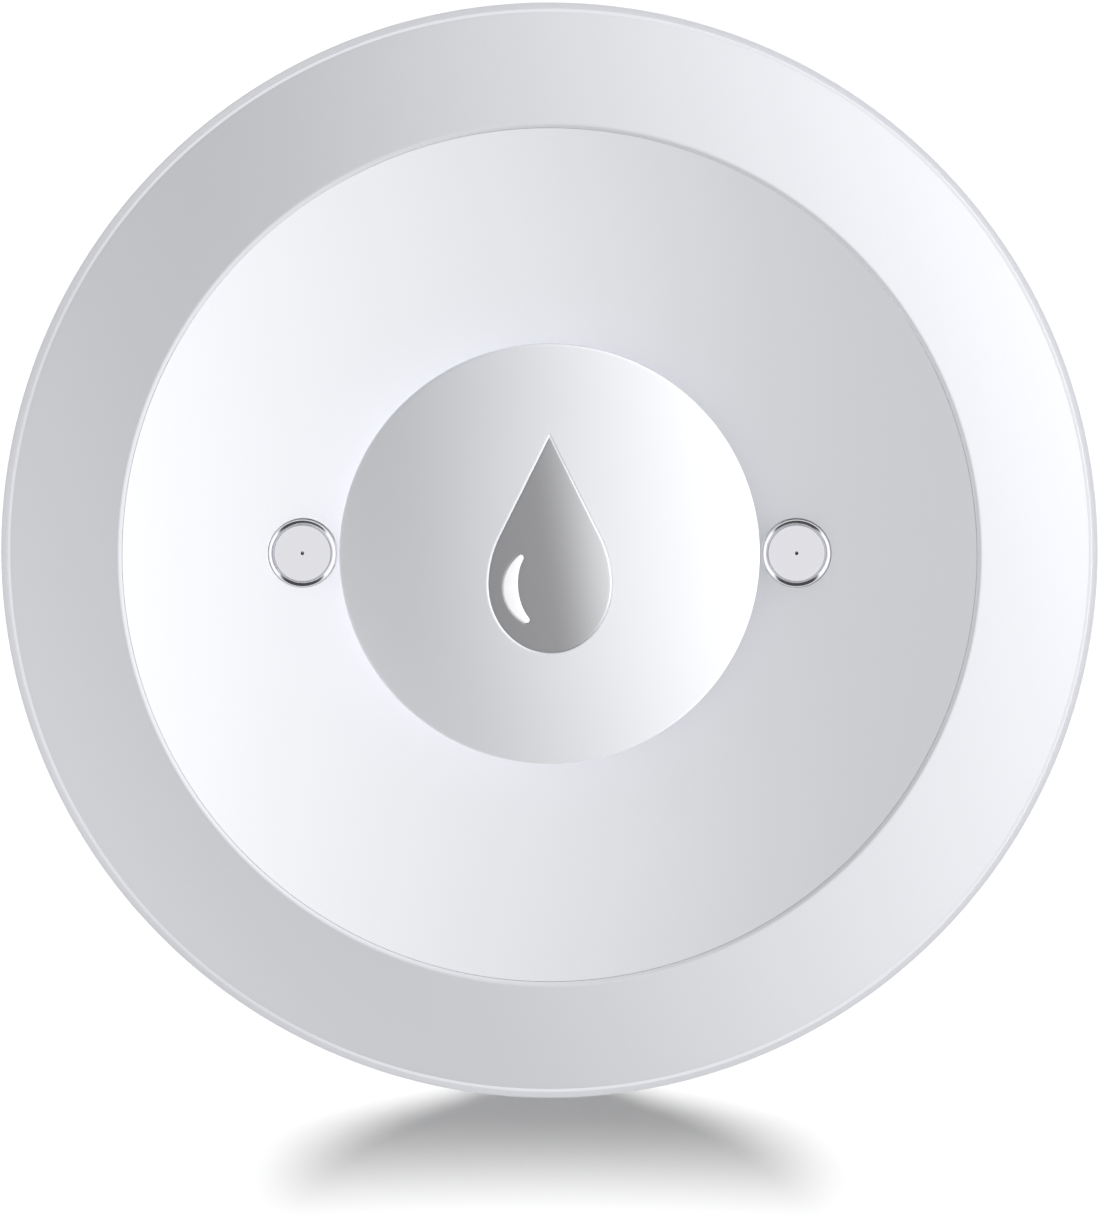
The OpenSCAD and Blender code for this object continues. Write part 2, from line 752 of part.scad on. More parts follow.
module floor_probe(angle) {
    color("silver")
        around(screw_circle_r, [angle])
            mirror([0, 0, 1]) probe(-floor_seat_z, floor_probe_head_h, floor_shank_top_z - floor_seat_z);
}

module floor_probe_front() {
    floor_probe(270);
}

module floor_probe_back() {
    floor_probe(90);
}

module floor_probe_seals() {
    color("black") around(screw_circle_r, floor_probe_angles) ring_seal(floor_seat_z + ring_seal_t / 2);
}

module floor_probe_nuts() {
    nut_top_z = base_floor_z + floor_nut_t;
    color("goldenrod")
        around(screw_circle_r, floor_probe_angles)
            difference() {
                translate([0, 0, base_floor_z]) cylinder(r = floor_nut_d / 2, h = floor_nut_t, $fn = 6);
                disc(probe_shank_r + touch_gap, base_floor_z - cut_over, nut_top_z + cut_over);
            }
}

module floor_probe_springs() {
    color("silver")
        around(screw_circle_r, floor_probe_angles)
            translate([0, 0, floor_shank_top_z + spring_wire_r + touch_gap])
                polyhedron(spring_points, spring_faces);
}

module circuit_board() {
    notch_r = case_post_r + free_gap;
    under_z = board_z - cut_over;
    over_z = board_top_z + cut_over;
    color("seagreen")
        difference() {
            disc(board_d / 2, board_z, board_top_z);
            around(screw_circle_r, screw_angles) {
                disc(notch_r, under_z, over_z);
                translate([0, -notch_r, under_z]) cube([board_d, 2 * notch_r, over_z - under_z]);
            }
            around(board_screw_y, board_screw_angles) disc(board_screw_r + slip_gap, under_z, over_z);
        }
}

module board_screws() {
    color("silver")
        around(board_screw_y, board_screw_angles)
            translate([0, 0, board_z])
                pan_screw(board_screw_r, board_screw_tip_z - board_z, board_head_r, board_head_h);
}

// A square-sided component that stands on the board, centred on a point
module component(x, y, size) {
    translate([x - size[0] / 2, y - size[1] / 2, board_top_z]) cube(size);
}

// Inner side of the components that stand beyond the standoffs
beside_standoff_x = drip_probe_x + standoff_d / 2 + free_gap;

module radio_module() {
    middle_x = -beside_standoff_x - radio_w / 2;
    color("gainsboro") {
        component(middle_x, 0, [radio_w, radio_l, radio_carrier_t]);
        component(middle_x, 0, [radio_w - 2 * radio_margin, radio_l - 2 * radio_margin, radio_h]);
    }
}

module chip_antenna() {
    color("lightyellow") component(beside_standoff_x + antenna_w, 0, [antenna_w, antenna_l, antenna_h]);
}

module status_led() {
    color("aliceblue") component(0, -switch_side / 2 - led_w, [led_l, led_w, led_h]);
}

module tact_switch() {
    body_h = switch_h - button_travel - slip_gap;
    color("black")
        difference() {
            component(0, 0, [switch_side, switch_side, body_h]);
            disc(plunger_d / 2 + slip_gap, board_top_z - cut_over, web_z);
        }
}

module switch_plunger() {
    color("saddlebrown") disc(plunger_d / 2, board_top_z + button_travel + slip_gap, web_z);
}

module coin_cell() {
    color("silver") {
        disc(cell_r, cell_z, cell_top_z - cell_minus_step);
        disc(cell_r - cell_minus_inset, cell_z, cell_top_z);
    }
}

// A flat foot under the board, then an arm that slopes down to the cell's minus face
module battery_contact_negative() {
    low_z = cell_top_z + touch_gap;
    foot_z = board_z - contact_t;
    arm_x = contact_arm_l / 2;
    end_x = arm_x + contact_foot_l;
    color("gold")
        translate([0, contact_w / 2, 0])
            rotate([90, 0, 0])
                linear_extrude(height = contact_w)
                    polygon([
                        [-end_x, board_z], [-end_x, foot_z], [-arm_x, foot_z], [arm_x, low_z],
                        [end_x, low_z], [end_x, low_z + contact_t], [arm_x, low_z + contact_t],
                        [-arm_x, board_z]
                    ]);
}

// A foot under the board and a leg that bears on the cell's side
module battery_contact_positive() {
    leg_x = cell_r + touch_gap;
    leg_z = cup_top_z + free_gap;
    foot_z = board_z - contact_t;
    end_x = leg_x + contact_foot_l;
    color("gold")
        translate([0, contact_w / 2, 0])
            rotate([90, 0, 0])
                linear_extrude(height = contact_w)
                    polygon([
                        [leg_x, leg_z], [leg_x + contact_t, leg_z], [leg_x + contact_t, foot_z],
                        [end_x, foot_z], [end_x, board_z], [leg_x, board_z]
                    ]);
}

module battery_door() {
    color("whitesmoke")
        difference() {
            union() {
                disc(door_flange_r, base_z, base_z + door_flange_t);
                disc(cup_r, base_z, cup_top_z);
                for (a = lug_angles)
                    tube_sector(lug_r, cup_r - cup_t / 2, lug_z, cup_top_z, a, lug_angle);
            }
            disc(cup_in_r, base_z + door_t, cup_top_z + cut_over);
            translate([-coin_slot_l / 2, -coin_slot_w / 2, base_z - cut_over])
                cube([coin_slot_l, coin_slot_w, coin_slot_depth + cut_over]);
        }
}

module battery_door_seal() {
    color("dimgray") tube(door_seal_r, door_seal_in_r, base_z + door_flange_t, door_shelf_z);
}

module case_screws() {
    color("silver")
        around(screw_circle_r, screw_angles)
            translate([0, 0, screw_seat_z])
                pan_screw(case_screw_r, screw_tip_z - screw_seat_z, case_head_r, case_head_h);
}

module rubber_feet() {
    top_z = foot_h + foot_recess;
    sole_r = foot_r - foot_chamfer;
    color("gray")
        around(screw_circle_r, screw_angles)
            rotate_extrude()
                polygon([[0, 0], [sole_r, 0], [foot_r, foot_chamfer], [foot_r, top_z], [0, top_z]]);
}

base_shell();
upper_ring();
drip_dish();
rim_seal();
dish_seal();
button_cap();
drop_lens();
button_membrane();
membrane_clamp();
drip_probe_left();
drip_probe_right();
drip_probe_seals();
probe_standoffs();
circuit_board();
board_screws();
radio_module();
chip_antenna();
tact_switch();
switch_plunger();
status_led();
battery_contact_negative();
battery_contact_positive();
coin_cell();
battery_door();
battery_door_seal();
case_screws();
rubber_feet();
floor_probe_front();
floor_probe_back();
floor_probe_seals();
floor_probe_nuts();
floor_probe_springs();
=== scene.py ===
import math

import bmesh
import bpy
from bpy.props import FloatProperty, FloatVectorProperty, PointerProperty
from mathutils import Matrix, Vector
from mathutils.geometry import delaunay_2d_cdt


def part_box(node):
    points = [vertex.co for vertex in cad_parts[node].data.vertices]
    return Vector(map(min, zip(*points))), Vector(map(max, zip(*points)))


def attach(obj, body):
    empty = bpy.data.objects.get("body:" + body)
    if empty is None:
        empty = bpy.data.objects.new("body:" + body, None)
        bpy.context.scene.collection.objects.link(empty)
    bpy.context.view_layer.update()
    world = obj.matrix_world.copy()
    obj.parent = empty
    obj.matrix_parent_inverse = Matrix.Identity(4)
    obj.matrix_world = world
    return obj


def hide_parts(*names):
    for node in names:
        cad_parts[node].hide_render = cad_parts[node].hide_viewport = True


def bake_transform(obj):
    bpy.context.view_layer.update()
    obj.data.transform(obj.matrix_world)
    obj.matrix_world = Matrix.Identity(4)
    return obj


bl_info = {
    "name": "Water leak sensor",
    "version": (1, 0, 0),
    "blender": (4, 5, 0),
    "location": "3D View > Sidebar > Leak Sensor",
    "description": "Smooth casing, button, probes and finishes for the packed water leak sensor",
    "category": "Object",
}

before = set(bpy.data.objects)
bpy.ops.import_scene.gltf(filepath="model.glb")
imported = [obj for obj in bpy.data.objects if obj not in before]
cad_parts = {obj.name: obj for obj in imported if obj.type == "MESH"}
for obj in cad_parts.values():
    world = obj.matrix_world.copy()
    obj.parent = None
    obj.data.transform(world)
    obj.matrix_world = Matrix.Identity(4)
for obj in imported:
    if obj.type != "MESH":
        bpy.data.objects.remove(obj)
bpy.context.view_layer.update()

MM = 0.001
TAU = 2 * math.pi
AROUND = 240  # facets round a large turned piece
AROUND_SMALL = 72  # facets round a probe, a foot or a hole
ON_AXIS = 1e-9  # a smaller radius, in metres, is a point on the axis
CLEAR = 0.02 * MM  # gap between faces that would otherwise coincide
PAST = 1 * MM  # how far a tool runs past what it cuts
OVERLAP = 0.1 * MM  # how far a tool runs into an opening that another one cuts
SOFT = 0.1 * MM  # reach of a plain rounding along an edge
BASE_LOW, BASE_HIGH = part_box("base_shell")
RING_LOW, RING_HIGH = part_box("upper_ring")
DISH_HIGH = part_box("drip_dish")[1]
CAP_LOW, CAP_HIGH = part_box("button_cap")
DOOR_LOW, DOOR_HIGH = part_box("battery_door")
FOOT_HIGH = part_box("rubber_feet")[1]
PROBE_LOW, PROBE_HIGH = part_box("drip_probe_right")
FLOOR_PROBE_LOW, FLOOR_PROBE_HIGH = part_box("floor_probe_back")


def linear(hex_colour):
    """An sRGB hex colour as linear RGBA."""
    parts = [int(hex_colour[i:i + 2], 16) / 255 for i in (0, 2, 4)]
    return (*(c / 12.92 if c <= 0.04045 else ((c + 0.055) / 1.055) ** 2.4 for c in parts), 1.0)


def length(name, text, value):
    """A size that a user can change, in metres."""
    return FloatProperty(name=name, description=text, default=value, unit="LENGTH", precision=6)


def colour(name, text, hex_colour):
    """A colour that a user can change."""
    return FloatVectorProperty(
        name=name, description=text, default=linear(hex_colour), subtype="COLOR", size=4, min=0, max=1)


class CasingSizes(bpy.types.PropertyGroup):
    """Sizes of the base, the ring and the dish."""
    body_r: length("Body radius", "Largest radius, at the base's rim", BASE_HIGH.x)
    base_z: length("Underside height", "Height of the flat underside", BASE_LOW.z)
    seam_z: length("Seam height", "Height of the seam between base and ring", BASE_HIGH.z)
    crest_z: length("Crest height", "Height of the ring's crest", RING_HIGH.z)
    crest_r: length("Crest radius", "Radius of the ring's inner edge", DISH_HIGH.x)
    crest_lip: length("Crest lip", "Height of the ring's crest above the dish's edge", 0.16 * MM)
    crest_slope: length("Crest slope", "Width of the slope from the crest down to the dish", 0.22 * MM)
    crest_round: length("Crest rounding", "Reach of the rounding at the crest", 0.12 * MM)
    seam_gap: length("Seam gap", "Gap between the dish and the ring", 0.02 * MM)
    dish_depth: length("Dish depth", "Depth of the dish at its centre", 5 * MM)
    dish_t: length("Dish thickness", "Thickness of the dish", 1.8 * MM)
    bulge_r: length("Ring bulge", "Radius of the ring's outward bulge", 38 * MM)
    rim_w: length("Rim width", "Width of the base's rim that shows round the ring", 0.37 * MM)
    rim_h: length("Rim height", "Height of the base's rim above the seam", 0.5 * MM)
    rim_round: length("Rim rounding", "Reach of the rounding at the base's rim", 0.08 * MM)
    bead_w: length("Bead width", "Width of the smooth bead along the ring's edge", 0.19 * MM)
    bead_h: length("Bead height", "Height of the bead above the seam", 0.76 * MM)
    underside_r: length("Underside radius", "Radius of the flat underside", 27.5 * MM)
    band_h: length("Rim band", "Height of the straight band below the seam", 1.5 * MM)
    lip: length("Rim lip", "How far the band stands proud of the bowl", 0.3 * MM)
    wall: length("Wall", "Wall thickness of the base", 2 * MM)


class ButtonSizes(bpy.types.PropertyGroup):
    """Sizes of the button and its drop symbol."""
    button_r: length("Button radius", "Radius of the button", CAP_HIGH.x)
    edge_z: length("Button edge", "Height of the dome's edge", 17.4 * MM)
    crown: length("Crown", "Rise of the dome above its edge", 2.9 * MM)
    under_z: length("Cap underside", "Height of the cap's underside", 15.87 * MM)
    edge_round: length("Edge rounding", "Reach of the rounding round the button", 0.16 * MM)
    thickness: length("Dome thickness", "Thickness of the dome", 1.8 * MM)
    stem_r: length("Stem radius", "Outer radius of the stem", 10.4 * MM)
    stem_t: length("Stem wall", "Wall of the stem", 1.4 * MM)
    post_r: length("Post radius", "Radius of the post over the switch", 1.5 * MM)
    half_w: length("Drop half width", "Half the drop's largest width", 3.62 * MM)
    below: length("Drop below", "Length below the widest line", 4.04 * MM)
    above: length("Drop above", "Length above the widest line", 8.74 * MM)
    flank_r: length("Drop flanks", "Radius of the drop's flanks", 6.4 * MM)
    widest_y: length("Widest line", "Place of the drop's widest line along Y", -1.66 * MM)
    inlay_t: length("Inlay depth", "Depth of the drop's inlay", 1 * MM)
    proud: length("Inlay height", "Height of the inlay above the dome", 0.1 * MM)
    inlay_gap: length("Inlay gap", "Gap round the inlay", 0.03 * MM)
    inlay_round: length("Inlay rounding", "Reach of the rounding along the inlay's edge", 0.06 * MM)
    lip_round: length("Lip rounding", "Reach of the rounding along the pocket round the inlay", 0.12 * MM)
    glint_w: length("Glint width", "Width of the glint at its middle", 0.86 * MM)
    glint_end_w: length("Glint end width", "Width of the glint at its ends", 0.4 * MM)


class ProbeSizes(bpy.types.PropertyGroup):
    """Sizes of the probes' heads."""
    head_r: length("Head radius", "Radius of a probe's head", 2 * MM)
    shank_r: length("Shank radius", "Radius of a probe's shank", 1 * MM)
    rim_w: length("Rim width", "Width of the rim round a head", 0.05 * MM)
    bevel_w: length("Bevel width", "Width of the bevel inside the rim", 0.22 * MM)
    bevel_h: length("Bevel height", "Height of the rim above a head's flat face", 0.125 * MM)
    groove_w: length("Groove width", "Width of the fine groove at the bevel's foot", 0.09 * MM)
    groove_depth: length("Groove depth", "Depth of that groove", 0.08 * MM)
    dimple_r: length("Dimple radius", "Radius of the centre dimple", 0.1 * MM)
    dimple_depth: length("Dimple depth", "Depth of the centre dimple", 0.6 * MM)
    seat_gap: length("Seat gap", "Gap between a head and its seat", 0.05 * MM)
    seat_round: length("Seat rounding", "Reach of the rounding at a seat's mouth", 0.03 * MM)


class UndersideSizes(bpy.types.PropertyGroup):
    """Sizes of the door, the feet and their recesses."""
    door_r: length("Door radius", "Radius of the door's flange", DOOR_HIGH.x)
    door_gap: length("Door gap", "Gap round the door", 0.2 * MM)
    door_round: length("Door rounding", "Reach of the rounding round the door", 0.25 * MM)
    slot_l: length("Slot length", "Length of the coin slot", 18 * MM)
    slot_w: length("Slot width", "Width of the coin slot", 2.2 * MM)
    slot_depth: length("Slot depth", "Depth of the coin slot", 1 * MM)
    slot_round: length("Slot rounding", "Reach of the rounding along the slot", 0.2 * MM)
    foot_r: length("Foot radius", "Radius of a foot", 2.7 * MM)
    foot_round: length("Foot rounding", "Reach of the rounding round a foot's sole", 0.35 * MM)
    recess_round: length("Recess rounding", "Reach of the rounding round a recess", 0.15 * MM)


class FinishColours(bpy.types.PropertyGroup):
    """Colours of the finishes."""
    shell: colour("Shell", "White of the ring, the base and the door", "CDCED2")
    # The bead's paler white is a painted highlight along the ring's edge
    bead: colour("Bead", "White of the bead along the ring's edge", "DADBDF")
    dish: colour("Dish", "White of the dish and the button", "EFF0F4")
    drop_dark: colour("Drop, dark side", "Grey of the drop at its left", "9A9A9D")
    # The pale side is a painted highlight on the drop's right, where the lamps light it
    drop_painted_highlight: colour("Drop, pale side", "Grey of the drop at its right edge", "EAEBED")
    glint: colour("Glint", "White of the glint", "FDFDFE")
    nickel: colour("Nickel", "Reflection colour of the probes' plating", "E1E1E5")
    rubber: colour("Seals", "Black of the seals", "2A2A2C")
    feet: colour("Feet", "Grey of the feet", "8C8C8F")
    floor: colour("Floor", "Pale grey of the floor, which its lamp brings up to white", "E2E2E2")


class StageSettings(bpy.types.PropertyGroup):
    """Settings of the camera and the lamps."""
    lens: FloatProperty(
        name="Focal length", description="Focal length in millimetres", default=298.06, unit="CAMERA")
    world: FloatProperty(name="Even light", description="Strength of the light from all round", default=0.445)
    floor_light: FloatProperty(
        name="Floor light", description="Strength of the floor's own lamp", default=0.98)
    softness: FloatProperty(name="Shadow softness", description="Apparent size of the floor's lamp",
                            default=math.radians(60), subtype="ANGLE")


# Half sections and outlines


def spread(start, end, steps):
    """Evenly spaced numbers, both ends included."""
    return [start + (end - start) * i / steps for i in range(steps + 1)]


def whole_turn(count):
    """Angles of a whole turn in equal steps."""
    return [TAU * i / count for i in range(count)]


def on_circle(r, a, x=0, y=0):
    """The point of a circle at an angle in radians."""
    return x + r * math.cos(a), y + r * math.sin(a)


def bend(first, corner, last, steps=6):
    """Points of a soft corner between two points."""
    a, b, c = Vector(first), Vector(corner), Vector(last)
    return [tuple(a * (1 - t) ** 2 + b * 2 * t * (1 - t) + c * t * t) for t in spread(0, 1, steps)]


def rounded(outline):
    """A half section of (r, z) or (r, z, reach) points, each corner with a reach rounded that far."""
    points = [(Vector(p[:2]), p[2] if len(p) > 2 else 0) for p in outline]
    corners = [p for p in points if p[1]]
    spare = 1.05  # a point within this many reaches of a rounded corner is left out
    kept = [p for p in points if p[1] or all((p[0] - c).length > reach * spare for c, reach in corners)]
    made = []
    for i, (at, reach) in enumerate(kept):
        if not reach:
            made.append(tuple(at))
            continue
        before, after = kept[i - 1][0], kept[(i + 1) % len(kept)][0]
        made += bend(at + (before - at).normalized() * reach, at, at + (after - at).normalized() * reach)
    return made


def drop_outline(inset):
    """Outline of the drop drawn in by an inset: a half ellipse below, flank arcs and straight sides above."""
    s = bpy.context.scene.leak_button
    flank_x = s.flank_r - s.half_w

    def flank_turn(above, flank_r):
        end = math.atan2(above, -flank_x) + math.acos(flank_r / math.hypot(flank_x, above))
        return math.pi - end

    half_w, below, flank_r = s.half_w - inset, s.below - inset, s.flank_r - inset
    above = s.above - inset / math.sin(flank_turn(s.above, s.flank_r))
    turn = flank_turn(above, flank_r)
    ellipse = [(half_w * math.cos(a), below * math.sin(a)) for a in spread(0, -math.pi, 40)]
    flank = [(flank_x + flank_r * math.cos(math.pi - a), flank_r * math.sin(a))
             for a in spread(0, turn, 14)[1:]]
    last = flank[-1]
    side = flank + [(last[0] * (1 - t), last[1] + (above - last[1]) * t) for t in spread(0, 1, 16)[1:]]
    mirrored = [(-x, y) for x, y in reversed(side[:-1])]
    return [(x, y + s.widest_y) for x, y in ellipse + side + mirrored]


def glint_outline(inset):
    """Outline of the glint drawn in by an inset: a bowed stroke with rounded ends, widest at its middle."""
    s = bpy.context.scene.leak_button
    centre, radius = (0.36 * MM, -1.72 * MM), 2.67 * MM
    start, end = math.radians(142), math.radians(229)
    mid_w, end_w = s.glint_w / 2 - inset, s.glint_end_w / 2 - inset

    def point(a, off):
        return on_circle(radius + off, a, *centre)

    def end_cap(a, facing):
        return [on_circle(end_w, facing + t, *point(a, 0)) for t in spread(0, math.pi, 10)[1:-1]]

    steps = spread(0, 1, 24)
    widths = [end_w + (mid_w - end_w) * math.sin(math.pi * t) for t in steps]
    angles = [start + (end - start) * t for t in steps]
    outer = [point(a, w) for a, w in zip(angles, widths)]
    inner = [point(a, -w) for a, w in zip(angles, widths)]
    return outer + end_cap(end, end) + inner[::-1] + end_cap(start, start + math.pi)


def inside(point, loop):
    """Whether a point lies inside a closed outline."""
    x, y = point
    hits = 0
    for (ax, ay), (bx, by) in zip(loop, loop[1:] + loop[:1]):
        if (ay > y) != (by > y) and x < ax + (bx - ax) * (y - ay) / (by - ay):
            hits += 1
    return hits % 2 == 1


# Solids


def solid(name, verts, faces):
    """A closed mesh object in the row frame, with its faces turned outwards."""
    mesh = bpy.data.meshes.new(name)
    mesh.from_pydata(verts, [], faces)
    work = bmesh.new()
    work.from_mesh(mesh)
    bmesh.ops.recalc_face_normals(work, faces=work.faces)
    work.to_mesh(mesh)
    work.free()
    piece = bpy.data.objects.new(name, mesh)
    bpy.context.scene.collection.objects.link(piece)
    return piece


def lathe(name, outline, places=((0, 0),), around=AROUND):
    """A half section turned about an upright axis at each place. It is closed, or runs from axis to axis."""
    verts, faces = [], []
    for px, py in places:
        rings = []
        for r, z in outline:
            turn = whole_turn(around) if r > ON_AXIS else [0]
            rings.append([len(verts) + i for i in range(len(turn))])
            verts += [(*on_circle(r, a, px, py), z) for a in turn]
        pairs = list(zip(rings, rings[1:]))
        if len(rings[0]) > 1:
            pairs.append((rings[-1], rings[0]))
        for low, high in pairs:
            for i in range(around):
                j = (i + 1) % around
                quad = (low[i % len(low)], low[j % len(low)], high[j % len(high)], high[i % len(high)])
                corners = tuple(dict.fromkeys(quad))
                if len(corners) > 2:
                    faces.append(corners)
    return solid(name, verts, faces)


def band(low, high, count):
    """Faces between two closed loops of points, from the number of each loop's first point."""
    return [(low + i, low + (i + 1) % count, high + (i + 1) % count, high + i) for i in range(count)]


def prism(name, loops):
    """Closed loops of points, joined in order and capped."""
    count = len(loops[0])
    verts = [p for loop in loops for p in loop]
    faces = [tuple(range(count)), tuple(range(len(verts) - count, len(verts)))]
    for k in range(len(loops) - 1):
        faces += band(k * count, (k + 1) * count, count)
    return solid(name, verts, faces)


def rod(x, y, r, low, high):
    """A plain round tool for carving or joining."""
    return lathe("rod", [(0, low), (r, low), (r, high), (0, high)], [(x, y)], AROUND_SMALL)


def sector(r_in, r_out, low, high, middle, width):
    """Part of a tube about the puck's axis, centred on an angle in degrees."""
    angles = [math.radians(a) for a in spread(middle - width / 2, middle + width / 2, 8)]
    flat = [on_circle(r_out, a) for a in angles] + [on_circle(r_in, a) for a in reversed(angles)]
    return prism("sector", [[(x, y, z) for x, y in flat] for z in (low, high)])


def sunk_hole(places, r, depth_z, face_z, reach):
    """A tool for round recesses in a flat underside, with a rounded mouth."""
    wide = r + 1.5 * reach
    outline = [(0, depth_z), (r, depth_z), (r, face_z, reach), (wide, face_z), (wide, face_z - PAST),
               (0, face_z - PAST)]
    return [lathe("recess", rounded(outline), [place], AROUND_SMALL) for place in places]


def plate(name, outlines, profile, surface):
    """A solid over a domed surface. outlines(inset) gives its outer outline, then its holes. profile holds
    insets and heights above the surface, from the bottom up."""
    verts, faces, starts = [], [], []
    for inset, height in profile:
        loops = outlines(inset)
        starts.append([])
        for loop in loops:
            starts[-1].append((len(verts), loop))
            verts += [(x, y, surface(math.hypot(x, y)) + height) for x, y in loop]
    for low, high in zip(starts, starts[1:]):
        for (a, loop), (b, _) in zip(low, high):
            faces += band(a, b, len(loop))
    for level, (_, height) in ((starts[0], profile[0]), (starts[-1], profile[-1])):
        faces += capped(level, height, surface, verts)
    return solid(name, verts, faces)


def capped(level, height, surface, verts):
    """Triangles that close one level of a plate, with points inside it so that it follows the surface."""
    pitch = 0.4 * MM
    keep_off = 0.45 * pitch
    loops = [loop for _, loop in level]
    ids = [first + i for first, loop in level for i in range(len(loop))]
    flat = [p for loop in loops for p in loop]
    edges, at = [], 0
    for loop in loops:
        edges += [(at + i, at + (i + 1) % len(loop)) for i in range(len(loop))]
        at += len(loop)
    xs, ys = [p[0] for p in loops[0]], [p[1] for p in loops[0]]
    columns = int((max(xs) - min(xs)) / pitch) + 1
    rows = int((max(ys) - min(ys)) / pitch) + 1

    def within(p):
        return inside(p, loops[0]) and not any(inside(p, hole) for hole in loops[1:])

    for row in range(rows):
        for column in range(columns):
            p = (min(xs) + (column + 0.5 * (row % 2)) * pitch, min(ys) + row * pitch)
            if within(p) and all(math.hypot(p[0] - x, p[1] - y) > keep_off for x, y in flat[:len(ids)]):
                flat.append(p)
    for x, y in flat[len(ids):]:
        ids.append(len(verts))
        verts.append((x, y, surface(math.hypot(x, y)) + height))
    # Kind 1 keeps the triangles inside the outer outline, so those in the holes are left out here
    drawn = [Vector((x / MM, y / MM)) for x, y in flat]
    _, _, triangles, sources, _, _ = delaunay_2d_cdt(drawn, edges, [], 1, 1e-6)
    faces = []
    for triangle in triangles:
        corners = [sources[corner][0] for corner in triangle]
        middle = (sum(flat[i][0] for i in corners) / 3, sum(flat[i][1] for i in corners) / 3)
        if not any(inside(middle, hole) for hole in loops[1:]):
            faces.append(tuple(ids[i] for i in corners))
    return faces


def carve(piece, tools, how="DIFFERENCE"):
    """Cuts tools out of a piece, or joins them to it, and removes them."""
    before = len(piece.data.vertices)
    for tool in tools:
        step = piece.modifiers.new("carve", "BOOLEAN")
        step.operation = how
        step.solver = "MANIFOLD"
        step.object = tool
    graph = bpy.context.evaluated_depsgraph_get()
    mesh = bpy.data.meshes.new_from_object(piece.evaluated_get(graph))
    piece.modifiers.clear()
    piece.data = mesh
    for tool in tools:
        bpy.data.objects.remove(tool)
    if len(mesh.vertices) == before:
        raise RuntimeError(f"{piece.name} is unchanged after carving")


def ring_places(r, angles):
    """Places on a circle about the puck's axis, at angles in degrees."""
    return [on_circle(r, math.radians(a)) for a in angles]


SCREW_CIRCLE = 20.875 * MM
QUARTER_ANGLES = (45, 135, 225, 315)
SCREW_PLACES = ring_places(SCREW_CIRCLE, QUARTER_ANGLES)
BOARD_SCREW_PLACES = [(0, 16.5 * MM), (0, -16.5 * MM)]
FLOOR_PROBE_PLACES = ring_places(SCREW_CIRCLE, (90, 270))
DRIP_PROBE_X = (PROBE_LOW.x + PROBE_HIGH.x) / 2
DRIP_PROBE_PLACES = [(DRIP_PROBE_X, 0), (-DRIP_PROBE_X, 0)]
DRIP_SEAT_Z, FLOOR_SEAT_Z = 15.21 * MM, 1.4 * MM
LUG_ANGLES = (0, 120, 240)


def dish_top(r):
    """Height of the dish's upper face."""
    s = bpy.context.scene.leak_casing
    radius = (s.crest_r ** 2 + s.dish_depth ** 2) / (2 * s.dish_depth)
    return s.crest_z - s.dish_depth + radius - math.sqrt(radius ** 2 - r ** 2)


def dome_radius():
    """Radius of the button's dome."""
    s = bpy.context.scene.leak_button
    return (s.button_r ** 2 + s.crown ** 2) / (2 * s.crown)


def dome_top(r, inset=0):
    """Height of the button's dome, or of a dome set in from it."""
    s = bpy.context.scene.leak_button
    radius = dome_radius()
    return s.edge_z + s.crown - radius + math.sqrt((radius - inset) ** 2 - r ** 2)


# Finishes


def add(tree, kind, settings=None, links=None):
    """Adds a node. settings are its properties or its sockets' values, links its sockets' sources."""
    made = tree.nodes.new(kind)
    for key, value in (settings or {}).items():
        if isinstance(key, str) and hasattr(made, key):
            setattr(made, key, value)
        else:
            made.inputs[key].default_value = value
    for key, source in (links or {}).items():
        tree.links.new(source, made.inputs[key])
    return made


MIX_A, MIX_B, MIX_OUT = 6, 7, 2  # colour sockets of a mix node

PATTERNS = {
    "grain": ("ShaderNodeTexNoise", {"Detail": 3.0, "Roughness": 0.6}, "Fac", 1.0),
    "flow": ("ShaderNodeTexNoise", {"Detail": 1.0, "Roughness": 0.4}, "Fac", 1.0),
    # A ring's spacing is TAU / 20 of the wave node's unit
    "turned": ("ShaderNodeTexWave", {"wave_type": "RINGS", "rings_direction": "Z", "Distortion": 0.6},
               "Fac", TAU / 20),
}


